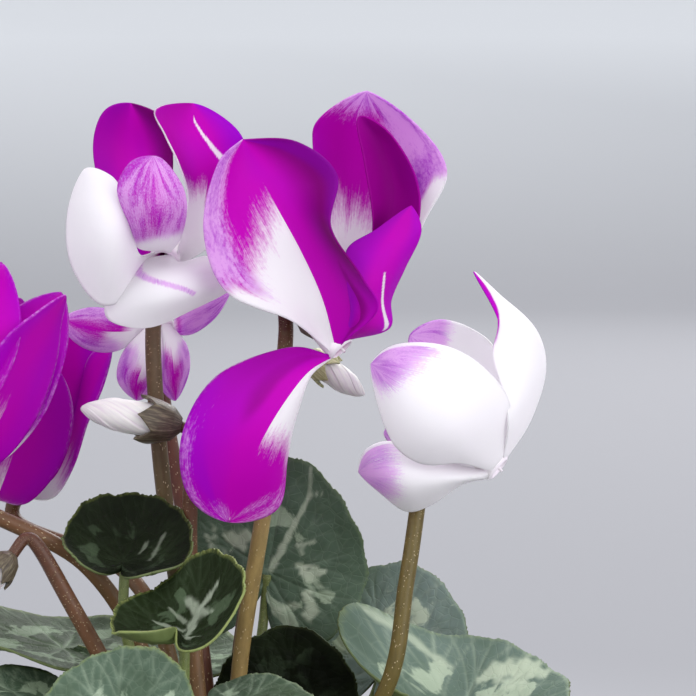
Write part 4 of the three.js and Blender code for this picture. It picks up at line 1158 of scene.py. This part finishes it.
# leaf: a thick waxy blade, dark green with grey-green marbling where air lies under the skin
leafFinish = {
    "ground": ("#090d05", "#1d2712", "#36462f", "#566858", "#768680"),     # from the darkest tone to the palest
    "silver": ("#10160c", "#4c5c44", "#86987e", "#a3b29b", "#b9c4ae"),
    "mark": "#b3bea8",
    "edge": "#a4b062",
    "roughness": 0.55,
    "patches": 10 / 9,      # marbled patches to the centimetre
    "meshes": 10 / 2.6,     # meshes of the finest net of veins to the centimetre
}
toneSteps = (0.0, 0.25, 0.5, 0.75, 1.0)
painted = [("look", "VertexColor leafPaint", {}), ("parts", "SeparateColor", {0: "look"})]
leafSkin = makeMaterial("leafSkin", [
    *painted,
    ("uv", "TexCoord", {}),
    ("clouds", "TexNoise", {"Vector": "uv.UV", "Scale": 0.7, "Detail": 4.0, "Roughness": 0.6}),
    ("blotch", "TexNoise", {"Vector": "uv.UV", "Scale": leafFinish["patches"], "Detail": 5.0, "Roughness": 0.55,
                            "Distortion": 0.7}),
    ("net", "TexVoronoi DISTANCE_TO_EDGE", {"Vector": "uv.UV", "Scale": leafFinish["meshes"]}),
    ("netLine", "MapRange SMOOTHSTEP", {
        "Value": "net", "From Min": 0.0, "From Max": 0.09, "To Min": 1.0, "To Max": 0.0}),
    ("shift", "Math MULTIPLY_ADD", {0: "clouds", 1: 0.4, 2: -0.2}),
    # the painted tone, which holds painted shade and sheen, shifted by the clouds
    ("tone", "Math ADD", {0: "look.Alpha", 1: "shift"}),
    ("ground", "ValToRGB", {0: "tone"}, {"stops": tuple(zip(toneSteps, leafFinish["ground"]))}),
    ("silver", "ValToRGB", {0: "tone"}, {"stops": tuple(zip(toneSteps, leafFinish["silver"]))}),
    ("patch", "Math MULTIPLY_ADD", {0: "parts.Green", 1: 0.24, 2: "blotch"}),
    ("patched", "MapRange SMOOTHSTEP", {"Value": "patch", "From Min": 0.72, "From Max": 0.8, "To Max": 0.85}),
    ("marbled", "Mix RGBA", {0: "patched", 6: "ground", 7: "silver"}),
    ("fine", "Math MULTIPLY", {0: "netLine", 1: 0.07}),
    ("netted", "Mix RGBA", {0: "fine", 6: "marbled", 7: "silver"}),
    # the veins are pale only here and there
    ("fade", "MapRange", {"Value": "clouds", "From Min": 0.38, "From Max": 0.62, "To Min": 0.12, "To Max": 0.85}),
    ("main", "Math MULTIPLY", {0: "parts.Red", 1: "fade"}),
    ("veined", "Mix RGBA", {0: "main", 6: "netted", 7: "silver"}),
    ("strokes", "VertexColor markPaint", {}),
    ("stroked", "Mix RGBA", {0: "strokes.Alpha", 6: "veined", 7: leafFinish["mark"]}),
    # the edge is uneven: beads of yellow-green between the teeth
    ("bead", "TexNoise", {"Vector": "uv.UV", "Scale": 9.0, "Detail": 2.0}),
    ("beaded", "MapRange", {"Value": "bead", "From Min": 0.35, "From Max": 0.65, "To Min": 0.2, "To Max": 1.1}),
    ("edge", "Math MULTIPLY", {0: "parts.Blue", 1: "beaded"}, {"use_clamp": True}),
    ("color", "Mix RGBA", {0: "edge", 6: "stroked", 7: leafFinish["edge"]}),
    ("height", "Math MULTIPLY_ADD", {0: "netLine", 1: -0.5, 2: "blotch"}),
    ("bump", "Bump", {"Height": "height", "Strength": 0.35, "Distance": 0.0004}),
    ("skin", "BsdfPrincipled", {
        "Base Color": "color", "Roughness": leafFinish["roughness"], "Specular IOR Level": 0.07, "Normal": "bump"})])

# underside: paler, matte, with its veins raised
leafUnder = makeMaterial("leafUnderside", [
    *painted,
    ("uv", "TexCoord", {}),
    ("clouds", "TexNoise", {"Vector": "uv.UV", "Scale": 1.4, "Detail": 4.0, "Roughness": 0.6}),
    ("ground", "ValToRGB", {0: "clouds"}, {"stops": ((0.3, "#5c6a3c"), (0.7, "#7c8a56"))}),
    ("color", "Mix RGBA", {0: "parts.Red", 6: "ground", 7: "#98a472"}),
    ("skin", "BsdfPrincipled", {"Base Color": "color", "Roughness": 0.6, "Specular IOR Level": 0.35})])

# the toothed edge is hard and thin, yellow-green on some leaves and dull on others
leafEdge = makeMaterial("leafEdge", [
    *painted,
    ("color", "Mix RGBA", {0: "parts.Blue", 6: "#3c4a38", 7: leafFinish["edge"]}),
    ("skin", "BsdfPrincipled", {"Base Color": "color", "Roughness": 0.5, "Specular IOR Level": 0.25})])
stalkSkin = makeStemMaterial("stalkSkin", ("#6a4034", "#6f6440", "#6c7648"))
for index, leaf in enumerate(leaves):
    makeLeaf(index, leaf)
print("leaves done")


# pot, potting soil and tuber
pot = {
    "height": 112, "topRadius": 66, "baseRadius": 44, "wall": 5.5, "floor": 6, "rimHeight": 18, "rimStep": 3.5,
    "drainHoles": 3, "drainRadius": 4.5, "drainCircle": 24, "drainSides": 32, "drillLength": 20,
    "grid": (128, 60),
    "sharpest": 35,         # edges up to this angle are shaded smooth
    "gap": 0.35,            # between pot and soil, and between soil and tuber
}
tuberBody = {
    "radius": 34, "middle": 93, "halfHeight": 20, "flattened": 0.93, "soilTop": 98,
    "angles": (-70, -48, -25, 0, 25, 45, 62),
    "hollowAngles": (13, 5, -10, -25, -40, -55, -70, -82),      # the soil's hollow round it
    "waves": ((9, 0.9, 4), (3, 0.35, 8)),       # size, height and seed of its bumps
    "sunk": 0.5,
    "grid": (112, 72),
    "soilWaves": ((5, 1.0, 3), (2, 0.5, 9)),
    "soilGrid": (160, 80),
}


def inwardAt(z):
    share = (z - pot["floor"]) / (pot["height"] - pot["floor"])
    return pot["baseRadius"] - pot["wall"] + share * (pot["topRadius"] - pot["baseRadius"])


def tuberSide(angles, gap=0):
    # the profile of the tuber's side, or of the hollow round it
    for degrees in tuberBody[angles]:
        out, up = onCircle(degrees, tuberBody["radius"] + gap, tuberBody["halfHeight"] + gap)
        yield out, tuberBody["middle"] + up


def layLathe(name, profile, sides, steps, bump=None):
    # a turned body: the profile is split evenly, and bump moves each point a little
    profile = np.array(profile, float)
    lengths = np.linalg.norm(np.diff(profile, axis=0), axis=1)
    marks = np.concatenate([[0], np.cumsum(lengths)])
    extra = np.linspace(0, marks[-1], steps + 1 - len(marks) + 2)[1:-1]
    stops = np.sort(np.concatenate([marks, extra]))

    def place(x, y):
        row = np.rint(y * (len(stops) - 1)).astype(int)
        r = np.interp(stops[row], marks, profile[:, 0])
        z = np.interp(stops[row], marks, profile[:, 1])
        points = ringPoints(x * math.tau, r, z)
        return bump(points, r) if bump else points

    return faceOut(weld(layGrid(name, sides, len(stops) - 1, place)[0]))


def roughen(points, size, amount, seed):
    # smooth seeded noise for each point
    return np.array([noise.noise(Vector(p / size) + Vector((seed, 0, 0))) for p in points]) * amount


# terracotta: porous fired clay, with turning lines and a bloom of white salts
terracotta = makeMaterial("terracotta", [
    ("place", "TexCoord", {}),
    ("grain", "TexNoise", {"Vector": "place.Object", "Scale": 900.0, "Detail": 4.0, "Roughness": 0.7}),
    ("stain", "TexNoise", {"Vector": "place.Object", "Scale": 28.0, "Detail": 6.0, "Roughness": 0.62}),
    ("lineMap", "Mapping", {"Vector": "place.Object", "Scale": (4, 4, 700)}),
    ("lines", "TexNoise", {"Vector": "lineMap", "Scale": 1.0, "Detail": 2.0, "Roughness": 0.5}),
    ("clay", "ValToRGB", {0: "grain"}, {"stops": ((0.2, "#93492f"), (0.5, "#b5694a"), (0.8, "#c98262"))}),
    ("salt", "MapRange SMOOTHSTEP", {"Value": "stain", "From Min": 0.52, "From Max": 0.75, "To Max": 0.55}),
    ("color", "Mix RGBA", {0: "salt", 6: "clay", 7: "#d8bca8"}),
    ("height", "Math MULTIPLY_ADD", {0: "grain", 1: 0.5, 2: "lines"}),
    ("bump", "Bump", {"Height": "height", "Strength": 0.45, "Distance": 0.0006}),
    ("skin", "BsdfPrincipled", {
        "Base Color": "color", "Roughness": 0.88, "Specular IOR Level": 0.25, "Normal": "bump"})])

# peat-based soil: dark, fibrous and damp, with lighter grains
peat = makeMaterial("pottingSoil", [
    ("place", "TexCoord", {}),
    ("crumb", "TexNoise", {"Vector": "place.Object", "Scale": 420.0, "Detail": 6.0, "Roughness": 0.75}),
    ("color", "ValToRGB", {0: "crumb"}, {"stops": ((0.3, "#1c130d"), (0.55, "#3d2c20"), (0.78, "#6b5238"))}),
    ("bump", "Bump", {"Height": "crumb", "Strength": 0.9, "Distance": 0.002}),
    ("skin", "BsdfPrincipled", {
        "Base Color": "color", "Roughness": 0.92, "Specular IOR Level": 0.2, "Normal": "bump"})])

# corky skin, cracked in fine scales
cork = makeMaterial("corkySkin", [
    ("place", "TexCoord", {}),
    ("scale", "TexVoronoi DISTANCE_TO_EDGE", {"Vector": "place.Object", "Scale": 260.0}),
    ("grain", "TexNoise", {"Vector": "place.Object", "Scale": 300.0, "Detail": 5.0, "Roughness": 0.7}),
    ("color", "ValToRGB", {0: "grain"}, {"stops": ((0.25, "#3e2d22"), (0.55, "#6b5240"), (0.8, "#9a8066"))}),
    ("crack", "MapRange", {"Value": "scale", "From Max": 0.12, "To Min": 0.0, "To Max": 1.0}),
    ("height", "Math MULTIPLY_ADD", {0: "grain", 1: 0.7, 2: "crack"}),
    ("bump", "Bump", {"Height": "height", "Strength": 0.8, "Distance": 0.0012}),
    ("skin", "BsdfPrincipled", {
        "Base Color": "color", "Roughness": 0.85, "Specular IOR Level": 0.25, "Normal": "bump"})])

crumbs = {
    "count": 420, "smallest": 0.8, "largest": 2.2, "ring": (37, 58), "seed": 5,
    "width": (0.6, 1), "height": (0.5, 0.8), "roughness": 0.5, "bareRing": (35, 37, 54, 57),
}


def makePot():
    top, base, height = pot["topRadius"], pot["baseRadius"], pot["height"]
    band = height - pot["rimHeight"]
    body = top - pot["rimStep"]
    profile = [
        (0, 0), (base - 1.2, 0), (base - 0.4, 0.3), (base, 1), (body, band - 0.8), (body + 0.4, band), (top - 1, band),
        (top - 0.3, band + 0.3), (top, band + 1), (top, height - 1.5), (top - 0.4, height - 0.4), (top - 1.5, height),
        (inwardAt(height) + 1, height), (inwardAt(height), height - 1), (inwardAt(pot["floor"]), pot["floor"]),
        (0, pot["floor"])]
    clay = layLathe("claypot", profile, *pot["grid"])
    drills = []
    for i in range(pot["drainHoles"]):
        at = tuple(np.array(slotPoint((pot["drainCircle"], 30 + i * 360 / pot["drainHoles"]), pot["floor"] / 2)) / 1000)
        bpy.ops.object.select_all(action="DESELECT")
        bpy.ops.mesh.primitive_cylinder_add(
            vertices=pot["drainSides"], radius=pot["drainRadius"] / 1000, depth=pot["drillLength"] / 1000, location=at)
        drills.append(bpy.context.object)
    drill = joinPieces("drainHoles", drills)
    pickOnly(clay)
    cut = clay.modifiers.new("drain", "BOOLEAN")
    cut.operation = "DIFFERENCE"
    cut.object = drill
    bpy.ops.object.modifier_apply(modifier=cut.name)
    bpy.data.objects.remove(drill)
    clay.data.materials.clear()
    coat(clay, terracotta)
    clay = joinPieces("clayPot", [clay])
    bpy.ops.object.shade_smooth_by_angle(angle=math.radians(pot["sharpest"]))
    dress(clay, "pot")


def makeSoil():
    gap = pot["gap"]
    top = tuberBody["soilTop"]
    low = pot["floor"] + gap
    radius = tuberBody["radius"]
    profile = [
        (0, low), (inwardAt(pot["floor"]) - gap, low), (inwardAt(top - 1.5) - gap, top - 1.5),
        (inwardAt(top) - 6, top + 0.2), (radius + 4, top - 0.2), (radius + 0.5, top - 0.6),
        *tuberSide("hollowAngles", gap), (0, tuberBody["middle"] - tuberBody["halfHeight"] - gap)]

    def bump(points, r):
        a, b, c, d = crumbs["bareRing"]
        bare = ease(top - 4, top - 2, points[:, 2]) * ease(a, b, r) * (1 - ease(c, d, r))
        points[:, 2] += sum(roughen(points, *wave) for wave in tuberBody["soilWaves"]) * bare
        return points

    body = layLathe("soilBody", profile, *tuberBody["soilGrid"], bump)
    draw = random.Random(crumbs["seed"])
    bpy.ops.object.select_all(action="DESELECT")
    bpy.ops.mesh.primitive_ico_sphere_add(subdivisions=1, radius=1)
    seedCrumb = bpy.context.object
    ball = np.array([v.co for v in seedCrumb.data.vertices])
    ballFaces = [tuple(p.vertices) for p in seedCrumb.data.polygons]
    bpy.data.objects.remove(seedCrumb)
    points, faces = [], []
    for i in range(crumbs["count"]):
        ring = math.sqrt(draw.uniform(*(r ** 2 for r in crumbs["ring"])))
        angle = draw.random() * math.tau
        size = draw.uniform(crumbs["smallest"], crumbs["largest"]) * draw.uniform(0.6, 1)
        shape = ball * (1 + roughen(ball, 0.8, crumbs["roughness"], i * 1.7)[:, None])
        shape = shape * [1, draw.uniform(*crumbs["width"]), draw.uniform(*crumbs["height"])]
        turn = draw.random() * math.tau
        x = shape[:, 0] * math.cos(turn) - shape[:, 1] * math.sin(turn)
        y = shape[:, 0] * math.sin(turn) + shape[:, 1] * math.cos(turn)
        middle = (math.cos(angle) * ring, math.sin(angle) * ring, top + size * 0.1)
        points.append(np.stack([x, y, shape[:, 2]], axis=1) * size / 2 + middle)
        faces += [tuple(k + i * len(ball) for k in face) for face in ballFaces]
    loose = fromPoints("soilCrumbs", np.concatenate(points), faces)
    coat(body, peat)
    coat(loose, peat)
    dress(joinPieces("pottingSoil", [body, loose]), "potting_soil")


def makeTuber():
    middle, half = tuberBody["middle"], tuberBody["halfHeight"]
    profile = [(0, middle - half), *tuberSide("angles"), (0, middle + half * tuberBody["flattened"])]
    eased = onCurve(np.array([(r, 0, z) for r, z in profile]), np.linspace(0, 1, 60))
    eased = [(max(p[0], 0), p[2]) for p in eased]
    eased[0] = (0, eased[0][1])
    eased[-1] = (0, eased[-1][1])

    def bump(points, r):
        lift = sum(roughen(points, *wave) for wave in tuberBody["waves"]) - tuberBody["sunk"]
        out = points - np.array([0, 0, middle])
        out /= np.linalg.norm(out, axis=1)[:, None]
        return points + out * lift[:, None]

    body = layLathe("tuberBody", eased, *tuberBody["grid"], bump)
    coat(body, cork)
    dress(joinPieces("tuberCork", [body]), "tuber")


makePot()
makeSoil()
makeTuber()
print("pot done")


# studio: a pale floor that sweeps up behind, soft light, and the photo's viewing angle
studio = {
    "floorColor": "#8e8e92",
    "nearColor": "#b0b0b4",
    "wallColor": "#cfd1d4",
    "nearReach": (0.35, 0.95),     # where the paler floor round the plant fades, in metres
    "worldColor": "#eceef2",
    "worldStrength": 1.38,
    "sweep": {"front": -16000, "back": 3600, "radius": 1600, "top": 3500, "width": 32000},     # in mm
    "target": (33.25, -15, 262.5),
    "distance": 700,
    "downward": 5,
    "pixelsPerDistance": 2800,
    "frameWidth": 696,
    "sensor": 36,
    "lamps": {
        "keyLight": {"at": (-2.2, -2.6, 3.0), "size": 2.4, "watts": 42},
        "fillLight": {"at": (2.4, -2.6, 0.9), "size": 2.6, "watts": 60},
        "backLight": {"at": (0.8, 3.0, 2.4), "size": 2.2, "watts": 90},
    },
    "lampAim": (0.01, 0, 0.24),
}

# matte paper, paler round the plant and up the wall
nearEnd, farEnd = studio["nearReach"]
paper = makeMaterial("paleFloor", [
    ("place", "TexCoord", {}),
    ("away", "VectorMath LENGTH", {0: "place.Object"}),
    ("faded", "MapRange SMOOTHSTEP", {"Value": "away.Value", "From Min": nearEnd, "From Max": farEnd}),
    ("split", "SeparateXYZ", {0: "place.Object"}),
    ("risen", "MapRange", {"Value": "split.Z", "From Min": 0.0, "From Max": 0.45}),
    ("flat", "Mix RGBA", {0: "faded", 6: studio["nearColor"], 7: studio["floorColor"]}),
    ("color", "Mix RGBA", {0: "risen", 6: "flat", 7: studio["wallColor"]}),
    ("skin", "BsdfPrincipled", {"Base Color": "color", "Roughness": 0.9, "Specular IOR Level": 0.1})])


def makeStudio():
    sweep = studio["sweep"]

    def place(x, y):
        flat = sweep["back"] - sweep["front"]
        bend = sweep["radius"] * math.pi / 2
        length = flat + bend + sweep["top"] - sweep["radius"]
        along = y * length
        turn = np.clip((along - flat) / bend, 0, 1) * math.pi / 2
        back = sweep["front"] + np.minimum(along, flat) + np.sin(turn) * sweep["radius"]
        up = (1 - np.cos(turn)) * sweep["radius"] + np.maximum(along - flat - bend, 0)
        return np.stack([(x - 0.5) * sweep["width"], back, up], axis=1)

    floor = layGrid("floor", 4, 160, place)[0]
    bpy.ops.object.shade_smooth()
    coat(floor, paper)

    world = bpy.data.worlds.new("studio")
    bpy.context.scene.world = world
    world.use_nodes = True
    backdrop = world.node_tree.nodes["Background"]
    backdrop.inputs["Color"].default_value = fromHex(studio["worldColor"])
    backdrop.inputs["Strength"].default_value = studio["worldStrength"]

    aim = Vector(studio["lampAim"])
    for name, lamp in studio["lamps"].items():
        bpy.ops.object.light_add(type="AREA", location=lamp["at"])
        light = bpy.context.object
        light.name = name
        light.data.size = lamp["size"]
        light.data.energy = lamp["watts"]
        light.rotation_euler = (aim - Vector(lamp["at"])).to_track_quat("-Z", "Y").to_euler()

    down = math.radians(studio["downward"])
    x, y, z = studio["target"]
    reach = studio["distance"]
    bpy.ops.object.camera_add(
        location=(x / 1000, (y - reach * math.cos(down)) / 1000, (z + reach * math.sin(down)) / 1000),
        rotation=(math.radians(90) - down, 0, 0))
    camera = bpy.context.object
    camera.data.sensor_fit = "HORIZONTAL"
    camera.data.sensor_width = studio["sensor"]
    camera.data.lens = studio["pixelsPerDistance"] / studio["frameWidth"] * studio["sensor"]
    bpy.context.scene.camera = camera
    bpy.context.scene.view_settings.view_transform = "Standard"


makeStudio()
print("studio done")
